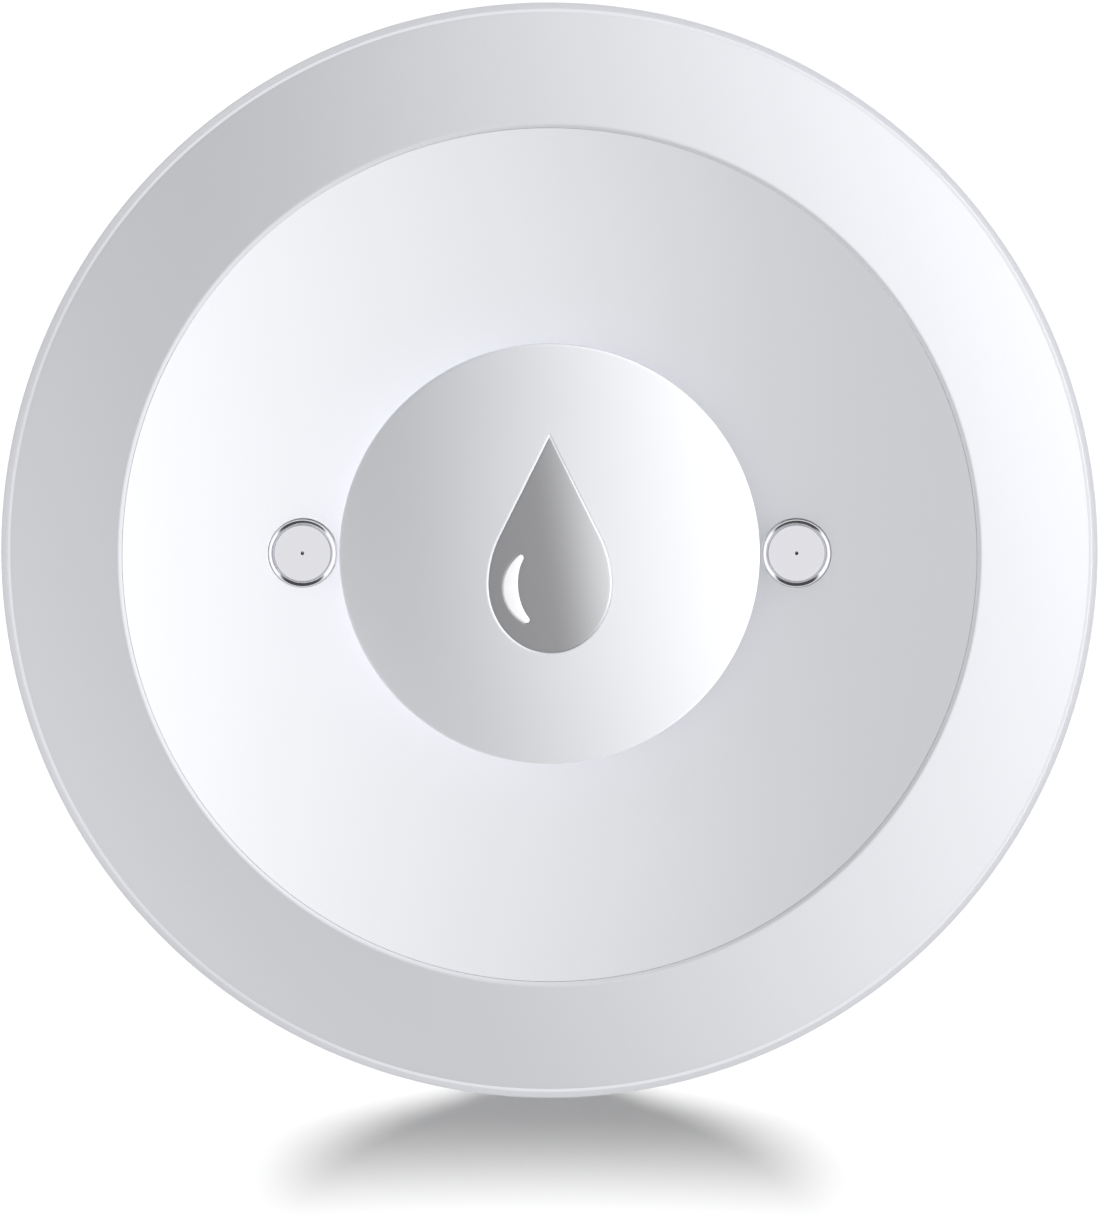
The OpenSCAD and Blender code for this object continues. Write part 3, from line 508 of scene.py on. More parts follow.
def build_finish(name, shade, roughness, ior=None, metallic=0.0, pattern="grain", pitch=0.2, depth=0.003,
                 tint=0.02, uneven=0.06, stretch=(1, 1, 1), **sockets):
    """A material with a pattern, pitch and depth in millimetres, in its colour, roughness and bump."""
    made = bpy.data.materials.new(name)
    made.use_nodes = True
    tree = made.node_tree
    shader = tree.nodes["Principled BSDF"]
    kind, settings, output, unit = PATTERNS[pattern]
    place = add(tree, "ShaderNodeTexCoord").outputs["Object"]
    stretched = add(tree, "ShaderNodeVectorMath", {"operation": "MULTIPLY", 1: stretch}, {0: place})
    scaled = {**settings, "Scale": unit / (pitch * MM)}
    marks = add(tree, kind, scaled, {"Vector": stretched.outputs[0]}).outputs[output]
    darker = tuple(c * (1 - tint) for c in shade[:3]) + (1.0,)
    paler = tuple(min(1.0, c * (1 + tint)) for c in shade[:3]) + (1.0,)
    mix = add(tree, "ShaderNodeMix", {"data_type": "RGBA"}, {"Factor": marks})
    mix.inputs[MIX_A].default_value, mix.inputs[MIX_B].default_value = darker, paler
    tree.links.new(mix.outputs[MIX_OUT], shader.inputs["Base Color"])
    rough = add(tree, "ShaderNodeMapRange", {"To Min": roughness - uneven, "To Max": roughness + uneven},
                {"Value": marks})
    tree.links.new(rough.outputs["Result"], shader.inputs["Roughness"])
    bump = add(tree, "ShaderNodeBump", {"Strength": 1.0, "Distance": depth * MM}, {"Height": marks})
    tree.links.new(bump.outputs["Normal"], shader.inputs["Normal"])
    shader.inputs["Metallic"].default_value = metallic
    # A finish glows only if it has an emission strength too
    shader.inputs["Emission Color"].default_value = shade
    if ior:
        shader.inputs["IOR"].default_value = ior
    for key, value in sockets.items():
        shader.inputs[key.replace("_", " ").title()].default_value = value
    return made


# What smooth mouldings share: slow flow marks, and a roughness that hardly changes
FLOW_MARKS = dict(pattern="flow", uneven=0.03)

# Each finish: its colour (a setting or a hex value), what its surface needs, and inner pieces that have it
FINISHES = {
    # ABS from a spark-eroded mould: a fine even grain that scatters the light, with no clear reflections.
    # The real grain of about 0.05 mm is drawn at 0.16 mm so that it shows.
    "abs_spark_textured": (
        "shell", dict(roughness=0.6, ior=1.53, pitch=0.16, depth=0.0035, tint=0.012)),
    # ABS from a finely polished mould: an even satin sheen with only slow flow marks, a few millimetres wide.
    "abs_satin_moulded": (
        "dish", dict(FLOW_MARKS, roughness=0.42, ior=1.53, pitch=4.0, depth=0.002, tint=0.006)),
    # ABS, the mould polished along its parting edge: a smooth line. Its white, paler than the textured ring,
    # is a painted highlight along the edge.
    "abs_polished_edge": (
        "bead", dict(FLOW_MARKS, roughness=0.3, ior=1.53, pitch=3.0, depth=0.001, tint=0.004)),
    # Turned brass with bright nickel: a mirror with faint rings from the tool, 0.09 mm apart.
    "brass_nickel_plated_turned": (
        "nickel", dict(roughness=0.14, metallic=1.0, pattern="turned", pitch=0.09, depth=0.0006, tint=0.012,
                       uneven=0.03)),
    # Grey polycarbonate, smooth, with a slight sheen; a fade to a pale tone on its right is a painted
    # highlight where the lamps light it.
    "polycarbonate_smoke_printed": (
        "drop_dark", dict(FLOW_MARKS, roughness=0.3, ior=1.58, pitch=3.0, depth=0.001, tint=0.0)),
    # Milky polycarbonate, moulded: smooth, with a faint painted glow from its emission strength that lifts it
    # to white.
    "polycarbonate_milky_moulded": (
        "glint", dict(FLOW_MARKS, roughness=0.35, ior=1.58, pitch=2.0, depth=0.001, tint=0.004,
                      emission_strength=0.2)),
    # Silicone, moulded thin: milky, soft-looking and slightly see-through at its edges.
    "silicone_milky_moulded": (
        "E3E4E6", dict(roughness=0.5, ior=1.41, pattern="flow", pitch=1.5, depth=0.003,
                       subsurface_weight=0.2)),
    # Thermoplastic rubber, moulded: dull, with a fine skin that takes no reflections.
    "rubber_moulded_feet": (
        "feet", dict(roughness=0.8, ior=1.5, pitch=0.25, depth=0.006, tint=0.05)),
    # Nitrile rubber, cut or moulded: near black and dull.
    "rubber_nitrile_moulded": (
        "rubber", dict(roughness=0.7, ior=1.52, pitch=0.2, depth=0.004, tint=0.08),
        "rim_seal", "dish_seal", "drip_probe_seals", "floor_probe_seals", "battery_door_seal"),
    # Nylon left in its own colour, moulded: a waxy off-white.
    "nylon_natural_moulded": (
        "D9D8D0", dict(roughness=0.45, ior=1.53, pattern="flow", pitch=2.0, depth=0.004), "membrane_clamp"),
    # Glass laminate under green solder mask: glossy, with the cloth's 0.5 mm weave just showing.
    "laminate_green_masked": (
        "2F6B43", dict(roughness=0.28, ior=1.5, pitch=0.5, depth=0.004, tint=0.12), "circuit_board"),
    # Moulded epoxy: black and matt, with a sandy grain.
    "epoxy_moulded_black": (
        "27272A", dict(roughness=0.6, ior=1.55, pitch=0.12, depth=0.004, tint=0.1),
        "tact_switch", "switch_plunger"),
    # Glazed alumina: a warm, glossy white.
    "alumina_glazed": (
        "EDE9DD", dict(roughness=0.2, ior=1.62, pattern="flow", pitch=0.8, depth=0.001),
        "chip_antenna", "status_led"),
    # Tinned steel sheet: soft grey reflections with a rolled grain.
    "steel_tinned_rolled": (
        "CDCCC7", dict(roughness=0.32, metallic=1.0, pitch=0.3, depth=0.001, stretch=(1, 12, 1)),
        "radio_module"),
    # Turned brass: yellow, with faint rings from the tool.
    "brass_turned": (
        "D9BC78", dict(roughness=0.25, metallic=1.0, pitch=0.12, depth=0.001, stretch=(1, 1, 6)),
        "probe_standoffs", "floor_probe_nuts"),
    # Spring bronze with a flash of gold: smooth and warm.
    "bronze_gold_flashed": (
        "E8C985", dict(roughness=0.22, metallic=1.0, pitch=0.3, depth=0.0006, stretch=(8, 1, 1)),
        "battery_contact_negative", "battery_contact_positive", "floor_probe_springs"),
    # Steel screws with bright zinc: bluish, slightly cloudy.
    "steel_zinc_plated": (
        "C4C6CA", dict(roughness=0.35, metallic=1.0, pitch=0.4, depth=0.001, tint=0.05),
        "board_screws", "case_screws"),
    # Drawn steel can with nickel: a soft mirror with fine drawing lines.
    "steel_nickel_drawn": (
        "D6D4CF", dict(roughness=0.24, metallic=1.0, pitch=0.25, depth=0.0008, stretch=(10, 1, 1)),
        "coin_cell"),
}


def finish(name):
    """The material of a finish, made the first time it is asked for."""
    if name in bpy.data.materials:
        return bpy.data.materials[name]
    shade, settings = FINISHES[name][:2]
    colours = bpy.context.scene.leak_colours
    tone = getattr(colours, shade) if hasattr(colours, shade) else linear(shade)
    return build_finish(name, tone, **settings)


def paint_drop_highlight(name):
    """Paints a highlight on the drop's finish: its grey fades to a pale tone towards the right and a little
    upwards, where the lamps light it.
    """
    colours, s = bpy.context.scene.leak_colours, bpy.context.scene.leak_button
    tree = finish(name).node_tree
    place = add(tree, "ShaderNodeTexCoord").outputs["Object"]
    slant = (1, 0.15, 0)
    across = add(tree, "ShaderNodeVectorMath", {"operation": "DOT_PRODUCT", 1: slant}, {0: place})
    ends = {"interpolation_type": "SMOOTHSTEP", "From Min": -0.6 * MM, "From Max": s.half_w + 1.2 * MM}
    share = add(tree, "ShaderNodeMapRange", ends, {"Value": across.outputs["Value"]})
    # The mix paints the highlight: the lens grey at the left, the pale tone at the right
    fade = add(tree, "ShaderNodeMix", {"data_type": "RGBA"}, {"Factor": share.outputs["Result"]})
    fade.inputs[MIX_A].default_value, fade.inputs[MIX_B].default_value = colours.drop_dark, colours.drop_painted_highlight
    tree.links.new(fade.outputs[MIX_OUT], tree.nodes["Principled BSDF"].inputs["Base Color"])


def smooth(piece):
    """Smooth shading, with the edges above 32 degrees kept sharp."""
    piece.data.shade_smooth()
    piece.data.set_sharp_from_angle(angle=math.radians(32))


def dress(piece, name, body, slot, *nodes, even=True):
    """Smooths a piece, gives it the finish of a name, and sets it on its body in place of its CAD nodes."""
    smooth(piece)
    if even:
        piece.modifiers.new("even shading", "WEIGHTED_NORMAL").keep_sharp = True
    piece.data.materials.clear()
    piece.data.materials.append(finish(name))
    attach(piece, body)
    if nodes:
        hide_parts(*nodes)


# Operators


class LEAK_OT_casing(bpy.types.Operator):
    """Make the sloped ring, the bead along its edge and the bowl-shaped base"""
    bl_idname = "leak_sensor.casing"
    bl_label = "Make casing"

    def execute(self, context):
        s = context.scene.leak_casing
        bead_r, bead_top = s.body_r - s.rim_w, s.seam_z + s.bead_h
        edge = Vector((bead_r - s.bead_w, bead_top))
        self.ring(s, edge)
        self.bead(s, edge, bead_r, bead_top)
        self.base(s, context.scene.leak_underside, bead_r + CLEAR / 2)
        return {"FINISHED"}

    def ring(self, s, edge):
        """The ring, bulged from edge to crest, with a ledge under the dish and a tongue into the base."""
        crest = Vector((s.crest_r + s.crest_slope, s.crest_z + s.crest_lip))
        chord = crest - edge
        inward = Vector((-chord.y, chord.x)).normalized()
        centre = (edge + crest) / 2 + inward * math.sqrt(s.bulge_r ** 2 - (chord.length / 2) ** 2)
        start, end = [math.atan2(p.y - centre.y, p.x - centre.x) for p in (edge, crest)]
        bulge = [on_circle(s.bulge_r, a, *centre) for a in spread(start, end, 40)]
        tongue_gap, tongue_t, tongue_rise = 0.1 * MM, 1.5 * MM, 0.6 * MM
        ledge_w, ledge_t, seal_t = 1 * MM, 1.6 * MM, 0.5 * MM
        tongue_r = s.body_r - s.wall - tongue_gap
        tongue_in_r = tongue_r - tongue_t
        ledge_r, ledge_z = s.crest_r - ledge_w, s.crest_z - s.dish_t - seal_t
        outline = [(tongue_r, s.seam_z), (edge.x, s.seam_z), tuple(edge)] + bulge[1:-1]
        outline += [(*crest, s.crest_round), (s.crest_r, s.crest_z - CLEAR), (s.crest_r, ledge_z)]
        outline += [(ledge_r, ledge_z), (ledge_r, ledge_z - ledge_t), (tongue_in_r, s.seam_z + tongue_rise)]
        outline += [(tongue_in_r, RING_LOW.z), (tongue_r, RING_LOW.z)]
        ring = lathe("ring_shell", rounded(outline))
        dress(ring, "abs_spark_textured", "housing", "white_shell", "upper_ring")

    def bead(self, s, edge, bead_r, bead_top):
        """The smooth bead between the ring and the base's rim."""
        bead_round = 0.04 * MM
        outline = [(edge.x, s.seam_z), (bead_r, s.seam_z), (bead_r, bead_top, bead_round), tuple(edge)]
        dress(lathe("edge_bead", rounded(outline)), "abs_polished_edge", "housing", "white_shell")

    def base(self, s, u, rim_in_r):
        """The base, turned, then given screw bosses, and recesses for feet, probes and the door's lugs."""
        band_z, bowl_top_r = s.seam_z - s.band_h, s.body_r - s.lip
        drop, run = band_z - s.base_z, bowl_top_r - s.underside_r
        bowl_r = (drop ** 2 + run ** 2) / (2 * run)
        bowl_x = bowl_top_r - bowl_r
        inner_r, floor_z = bowl_r - s.wall + s.lip, s.base_z + 2 * MM
        recess_r, shelf_z, ledge_top = u.door_r + u.door_gap, 2.7 * MM, 3.9 * MM
        bore_r, boss_r = 13.9 * MM, recess_r + 1.2 * MM
        groove_r, groove_w, groove_z = s.body_r - s.wall / 2, 0.27 * MM, s.seam_z - 0.5 * MM
        rim_z, heel_round, lip_round = s.seam_z + s.rim_h, 0.8 * MM, 0.05 * MM
        low = math.asin(-drop / bowl_r)
        outer = [on_circle(bowl_r, a, bowl_x, band_z) for a in spread(low, 0, 40)]
        floor_a = math.asin((floor_z - band_z) / inner_r)
        inner = [on_circle(inner_r, a, bowl_x, band_z) for a in spread(0, floor_a, 24)]
        outline = [(recess_r, s.base_z, u.recess_round), (*outer[0], heel_round)] + outer[1:-1]
        outline += [(*outer[-1], lip_round), (s.body_r, band_z, s.rim_round), (s.body_r, rim_z, s.rim_round)]
        outline += [(rim_in_r, rim_z), (rim_in_r, s.seam_z)]
        outline += [(groove_r + groove_w, s.seam_z), (groove_r + groove_w, groove_z),
                    (groove_r - groove_w, groove_z), (groove_r - groove_w, s.seam_z)]
        outline += [(s.body_r - s.wall, s.seam_z)] + inner
        outline += [(boss_r, floor_z), (boss_r, ledge_top), (bore_r, ledge_top), (bore_r, shelf_z)]
        outline += [(recess_r, shelf_z)]
        base = lathe("base_bowl", rounded(outline))

        board_top, head_z, foot_gap = 9.8 * MM, 3.4 * MM, 0.1 * MM
        screw_boss_r, screw_head_r, screw_r = 3.2 * MM, 2.1 * MM, 1.2 * MM
        seat_r, seat_round = 2.1 * MM, 0.08 * MM
        nut_r, seal_r, seal_z, shank_r = 2.4 * MM, 1.54 * MM, 1.9 * MM, 1.02 * MM
        lug_r, lug_turn, lug_width = 15.2 * MM, 30, 28
        carve(base, [rod(x, y, screw_boss_r, s.base_z + PAST, board_top) for x, y in SCREW_PLACES], "UNION")
        tools = sunk_hole(SCREW_PLACES, u.foot_r + foot_gap, FOOT_HIGH.z, s.base_z, u.recess_round)
        for x, y in SCREW_PLACES:
            tools += [rod(x, y, screw_head_r, s.base_z, head_z),
                      rod(x, y, screw_r, s.base_z, board_top + PAST)]
        tools += sunk_hole(FLOOR_PROBE_PLACES, seat_r, FLOOR_SEAT_Z, s.base_z, seat_round)
        for x, y in FLOOR_PROBE_PLACES:
            tools += [rod(x, y, nut_r, floor_z, ledge_top + PAST), rod(x, y, seal_r, s.base_z, seal_z),
                      rod(x, y, shank_r, s.base_z, floor_z + PAST)]
        tools += [sector(bore_r - OVERLAP, lug_r, s.base_z, ledge_top + PAST, a - lug_turn, lug_width)
                  for a in LUG_ANGLES]
        carve(base, tools)
        dress(base, "abs_spark_textured", "housing", "white_shell", "base_shell")


class LEAK_OT_dish(bpy.types.Operator):
    """Make the drip dish with the probes' seats"""
    bl_idname = "leak_sensor.dish"
    bl_label = "Make dish"

    def execute(self, context):
        s, p = context.scene.leak_casing, context.scene.leak_probes
        hole_r, hole_round, hub_r, hub_z, flange_r = 10.55 * MM, 0.12 * MM, 13.2 * MM, 12.9 * MM, 23.95 * MM
        dish_r = s.crest_r - s.seam_gap
        radius = (s.crest_r ** 2 + s.dish_depth ** 2) / (2 * s.dish_depth)
        centre_z = s.crest_z - s.dish_depth + radius
        under = [(r, centre_z - math.sqrt((radius + s.dish_t) ** 2 - r ** 2))
                 for r in spread(flange_r, hub_r, 20)]
        top = [(r, dish_top(r)) for r in spread(hole_r, dish_r, 60)]
        outline = [(*top[0], hole_round)] + top[1:]
        outline += [(dish_r, s.crest_z - s.dish_t), (flange_r, s.crest_z - s.dish_t)] + under
        outline += [(hub_r, hub_z), (hole_r, hub_z)]
        dish = lathe("dish_tray", rounded(outline))

        # Radius, lower end and upper end of the bosses under the dish, and of the bores
        case_boss, case_bore = (2.3 * MM, 10 * MM, 16.4 * MM), (1.12 * MM, 9 * MM, 15 * MM)
        board_boss, board_bore = (1.8 * MM, 9.8 * MM, 15 * MM), (0.97 * MM, 9 * MM, 13.8 * MM)
        probe_boss, hub_bore = (2.52 * MM, hub_z, 14.7 * MM), (hole_r, hub_z - PAST, 14 * MM)
        bosses = [rod(*place, *case_boss) for place in SCREW_PLACES]
        bosses += [rod(*place, *board_boss) for place in BOARD_SCREW_PLACES]
        bosses += [rod(*place, *probe_boss) for place in DRIP_PROBE_PLACES]
        carve(dish, bosses, "UNION")
        carve(dish, [rod(0, 0, *hub_bore)])
        tools = [rod(*place, *case_bore) for place in SCREW_PLACES]
        tools += [rod(*place, *board_bore) for place in BOARD_SCREW_PLACES]
        seat_r, reach = p.head_r + p.seat_gap, p.seat_round
        seal_r, seal_z = 1.54 * MM, DRIP_SEAT_Z - 0.5 * MM
        mouth = bend((seat_r, -reach), (seat_r, 0), (seat_r + reach, 0), 5) + [(seat_r + reach, PAST)]
        for x, y in DRIP_PROBE_PLACES:
            tools += [rod(x, y, seal_r, seal_z, DRIP_SEAT_Z + OVERLAP)]
            tools += [rod(x, y, p.shank_r + CLEAR, hub_z - PAST, DRIP_SEAT_Z)]
            turn = whole_turn(AROUND_SMALL)
            loops = [[(*on_circle(seat_r, a, x, y), DRIP_SEAT_Z) for a in turn]]
            for r, height in mouth:
                flat = [on_circle(r, a, x, y) for a in turn]
                loops.append([(fx, fy, dish_top(math.hypot(fx, fy)) + height) for fx, fy in flat])
            tools.append(prism("seat", loops))
        carve(dish, tools)
        dress(dish, "abs_satin_moulded", "housing", "white_dish", "drip_dish")
        return {"FINISHED"}


class LEAK_OT_button(bpy.types.Operator):
    """Make the domed button, its drop window and the glint in the drop"""
    bl_idname = "leak_sensor.button"
    bl_label = "Make button"

    def execute(self, context):
        s = context.scene.leak_button
        stem_z, stem_in_r = 12 * MM, s.stem_r - s.stem_t
        skirt_drop, hook_out, hook_h, hook_width = 0.2 * MM, 0.65 * MM, 0.8 * MM, 30
        skirt_z, hollow_z = s.edge_z - skirt_drop, dome_top(0, s.thickness)
        hollow_r = math.sqrt((hollow_z - skirt_z) * (skirt_z - hollow_z + 2 * (dome_radius() - s.thickness)))
        hollow = [(r, dome_top(r, s.thickness)) for r in spread(0, hollow_r, 16)]
        dome = [(r, dome_top(r)) for r in spread(s.button_r, 0, 56)]
        outline = hollow + [(s.button_r, skirt_z), (*dome[0], s.edge_round)] + dome[1:]
        cap = lathe("button_dome", rounded(outline))
        outline = [(stem_in_r, stem_z), (s.stem_r, stem_z), (s.stem_r, s.under_z),
                   (s.button_r, s.under_z, SOFT), (s.button_r, skirt_z), (stem_in_r, skirt_z)]
        skirt = lathe("button_skirt", rounded(outline))
        hooks = [sector(s.stem_r - s.stem_t / 2, s.stem_r + hook_out, stem_z, stem_z + hook_h, a, hook_width)
                 for a in QUARTER_ANGLES]
        post = rod(0, 0, s.post_r, CAP_LOW.z, dome_top(s.post_r, s.thickness))
        carve(skirt, hooks + [post], "UNION")
        dress(skirt, "abs_satin_moulded", "button", "white_button", "button_cap")

        def symbol(inset):
            return [drop_outline(inset), glint_outline(-inset)]

        lip, pocket_top, strip_w, glint_depth = s.lip_round, 0.6 * MM, 0.15 * MM, 0.06 * MM
        mouth = [(-out, height) for out, height in bend((0, -lip), (0, 0), (lip, 0), 4)]
        pocket = plate("pocket", symbol, [(0, -s.inlay_t)] + mouth + [(-lip, pocket_top)], dome_top)
        carve(cap, [pocket])
        dress(cap, "abs_satin_moulded", "button", "white_button", "button_cap")

        gap, top, reach = s.inlay_gap, s.proud, s.inlay_round
        rim = bend((gap, top - reach), (gap, top), (gap + reach, top), 5)
        strip = (gap + reach + strip_w, top)
        lens = plate("drop_window", symbol, [(gap, CLEAR - s.inlay_t)] + rim + [strip], dome_top)
        paint_drop_highlight("polycarbonate_smoke_printed")
        dress(lens, "polycarbonate_smoke_printed", "button", "grey_lens", "drop_lens", even=False)

        glint = plate("glint_mark", lambda inset: [glint_outline(inset)],
                      [(gap, -glint_depth)] + rim, dome_top)
        dress(glint, "polycarbonate_milky_moulded", "button", "white_button", even=False)
        return {"FINISHED"}


def probe_outline(s, seat_z, top_z, end_z):
    """Half section of a probe from its shank's end to the dimple in its face. The head is above or below."""
    up = 1 if top_z > seat_z else -1
    rim_r = s.head_r - s.rim_w
    bevel_r, face_z = rim_r - s.bevel_w, top_z - up * s.bevel_h
    groove_r = bevel_r - s.groove_w
    end_round, under_round, rim_round, fine_round = 0.12 * MM, 0.04 * MM, 0.025 * MM, 0.02 * MM
    # A ring just above the dimple's tip keeps the tip's shading as dark as its wall
    tip_r, tip_depth = s.dimple_r * 0.12, s.dimple_depth * 0.88
    return [
        (0, end_z), (s.shank_r, end_z, end_round), (s.shank_r, seat_z), (s.head_r, seat_z, under_round),
        (s.head_r, top_z, rim_round), (rim_r, top_z, fine_round), (bevel_r, face_z),
        (bevel_r - s.groove_w / 2, face_z - up * s.groove_depth), (groove_r, face_z),
        (s.dimple_r, face_z, fine_round), (tip_r, face_z - up * tip_depth),
        (0, face_z - up * s.dimple_depth)]


class LEAK_OT_probes(bpy.types.Operator):
    """Make the two drip probes and the two floor probes"""
    bl_idname = "leak_sensor.probes"
    bl_label = "Make probes"

    def execute(self, context):
        s = context.scene.leak_probes
        drip = probe_outline(s, DRIP_SEAT_Z, PROBE_HIGH.z, PROBE_LOW.z)
        below = probe_outline(s, FLOOR_SEAT_Z, FLOOR_PROBE_LOW.z, FLOOR_PROBE_HIGH.z)
        wanted = [("drip_pin_right", DRIP_PROBE_PLACES[0], drip, "drip_probe_right"),
                  ("drip_pin_left", DRIP_PROBE_PLACES[1], drip, "drip_probe_left"),
                  ("floor_pin_back", FLOOR_PROBE_PLACES[0], below, "floor_probe_back"),
                  ("floor_pin_front", FLOOR_PROBE_PLACES[1], below, "floor_probe_front")]
        for name, place, outline, node in wanted:
            pin = lathe(name, rounded(outline), around=AROUND_SMALL * 2)
            pin.location = (*place, 0)
            dress(pin, "brass_nickel_plated_turned", "housing", "probe_nickel", node)
        return {"FINISHED"}


class LEAK_OT_membrane(bpy.types.Operator):
    """Make the soft membrane under the button"""
    bl_idname = "leak_sensor.membrane"
    bl_label = "Make membrane"

    def execute(self, context):
        low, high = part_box("button_membrane")
        web_top, rim_z, wall_in, wall_out = low.z + 0.4 * MM, high.z - 0.8 * MM, 11.25 * MM, 11.85 * MM
        fold, facets = 0.2 * MM, 96
        outline = [(0, low.z), (wall_out, low.z, fold), (wall_out, rim_z, fold), (high.x, rim_z, SOFT),
                   (high.x, high.z, SOFT), (wall_in, high.z, SOFT), (wall_in, web_top, fold), (0, web_top)]
        skin = lathe("press_membrane", rounded(outline), around=facets)
        smooth(skin)
        skin.data.materials.append(finish("silicone_milky_moulded"))
        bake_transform(skin)
        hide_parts("button_membrane")
        return {"FINISHED"}


class LEAK_OT_door(bpy.types.Operator):
    """Make the quarter-turn battery door with its coin slot"""
    bl_idname = "leak_sensor.door"
    bl_label = "Make battery door"

    def execute(self, context):
        u = context.scene.leak_underside
        face_z, flange_z, cup_top = DOOR_LOW.z, DOOR_LOW.z + 1.2 * MM, DOOR_HIGH.z
        cup_r, cup_in_r, floor_z = 13.7 * MM, 12.6 * MM, DOOR_LOW.z + 1.8 * MM
        outline = [(0, face_z), (u.door_r, face_z, u.door_round), (u.door_r, flange_z, SOFT),
                   (cup_r, flange_z), (cup_r, cup_top, SOFT), (cup_in_r, cup_top, SOFT),
                   (cup_in_r, floor_z), (0, floor_z)]
        door = lathe("twist_door", rounded(outline))
        lug_in_r, lug_r, lug_z, lug_width = cup_r - 0.55 * MM, 15 * MM, 4 * MM, 24
        lugs = [sector(lug_in_r, lug_r, lug_z, cup_top, a, lug_width) for a in LUG_ANGLES]
        carve(door, lugs, "UNION")
        half_l, half_w, reach, foot = u.slot_l / 2, u.slot_w / 2, u.slot_round, 0.3 * MM

        def slot_loop(grow, z):
            right = [on_circle(half_w + grow, a, half_l - half_w)
                     for a in spread(-math.pi / 2, math.pi / 2, 16)]
            return [(x, y, z) for x, y in right] + [(-x, -y, z) for x, y in right]

        mouth = bend((0, face_z + reach), (0, face_z), (reach, face_z), 5)
        loops = [slot_loop(-foot, face_z + u.slot_depth), slot_loop(0, face_z + u.slot_depth - foot)]
        loops += [slot_loop(grow, z) for grow, z in mouth] + [slot_loop(reach, face_z - PAST)]
        carve(door, [prism("slot", loops)])
        dress(door, "abs_spark_textured", "door", "white_shell", "battery_door")
        return {"FINISHED"}


class LEAK_OT_feet(bpy.types.Operator):
    """Make the four rubber feet"""
    bl_idname = "leak_sensor.feet"
    bl_label = "Make feet"

    def execute(self, context):
        u = context.scene.leak_underside
        sole_r, sole_round, side_round = u.foot_r - 0.3 * MM, 0.08 * MM, 0.12 * MM
        # A shallow ring in each sole lets it grip a wet floor
        groove_depth, groove_round = 0.12 * MM, 0.04 * MM
        mouth_in, floor_in, floor_out, mouth_out = [sole_r * share for share in (0.45, 0.5, 0.62, 0.67)]
        outline = [(0, 0), (mouth_in, 0), (floor_in, groove_depth, groove_round),
                   (floor_out, groove_depth, groove_round), (mouth_out, 0), (sole_r, 0, sole_round),
                   (u.foot_r, u.foot_round, side_round), (u.foot_r, FOOT_HIGH.z), (0, FOOT_HIGH.z)]
        feet = lathe("sole_feet", rounded(outline), SCREW_PLACES, AROUND_SMALL)
        dress(feet, "rubber_moulded_feet", "housing", "foot_rubber", "rubber_feet")
        return {"FINISHED"}


class LEAK_OT_inner_finishes(bpy.types.Operator):
    """Give the inner pieces their finishes"""
    bl_idname = "leak_sensor.inner_finishes"
    bl_label = "Finish inner pieces"

    def execute(self, context):
        for name, (_, _, *nodes) in FINISHES.items():
            for node in nodes:
                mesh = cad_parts[node].data
                mesh.materials.clear()
                mesh.materials.append(finish(name))
        return {"FINISHED"}


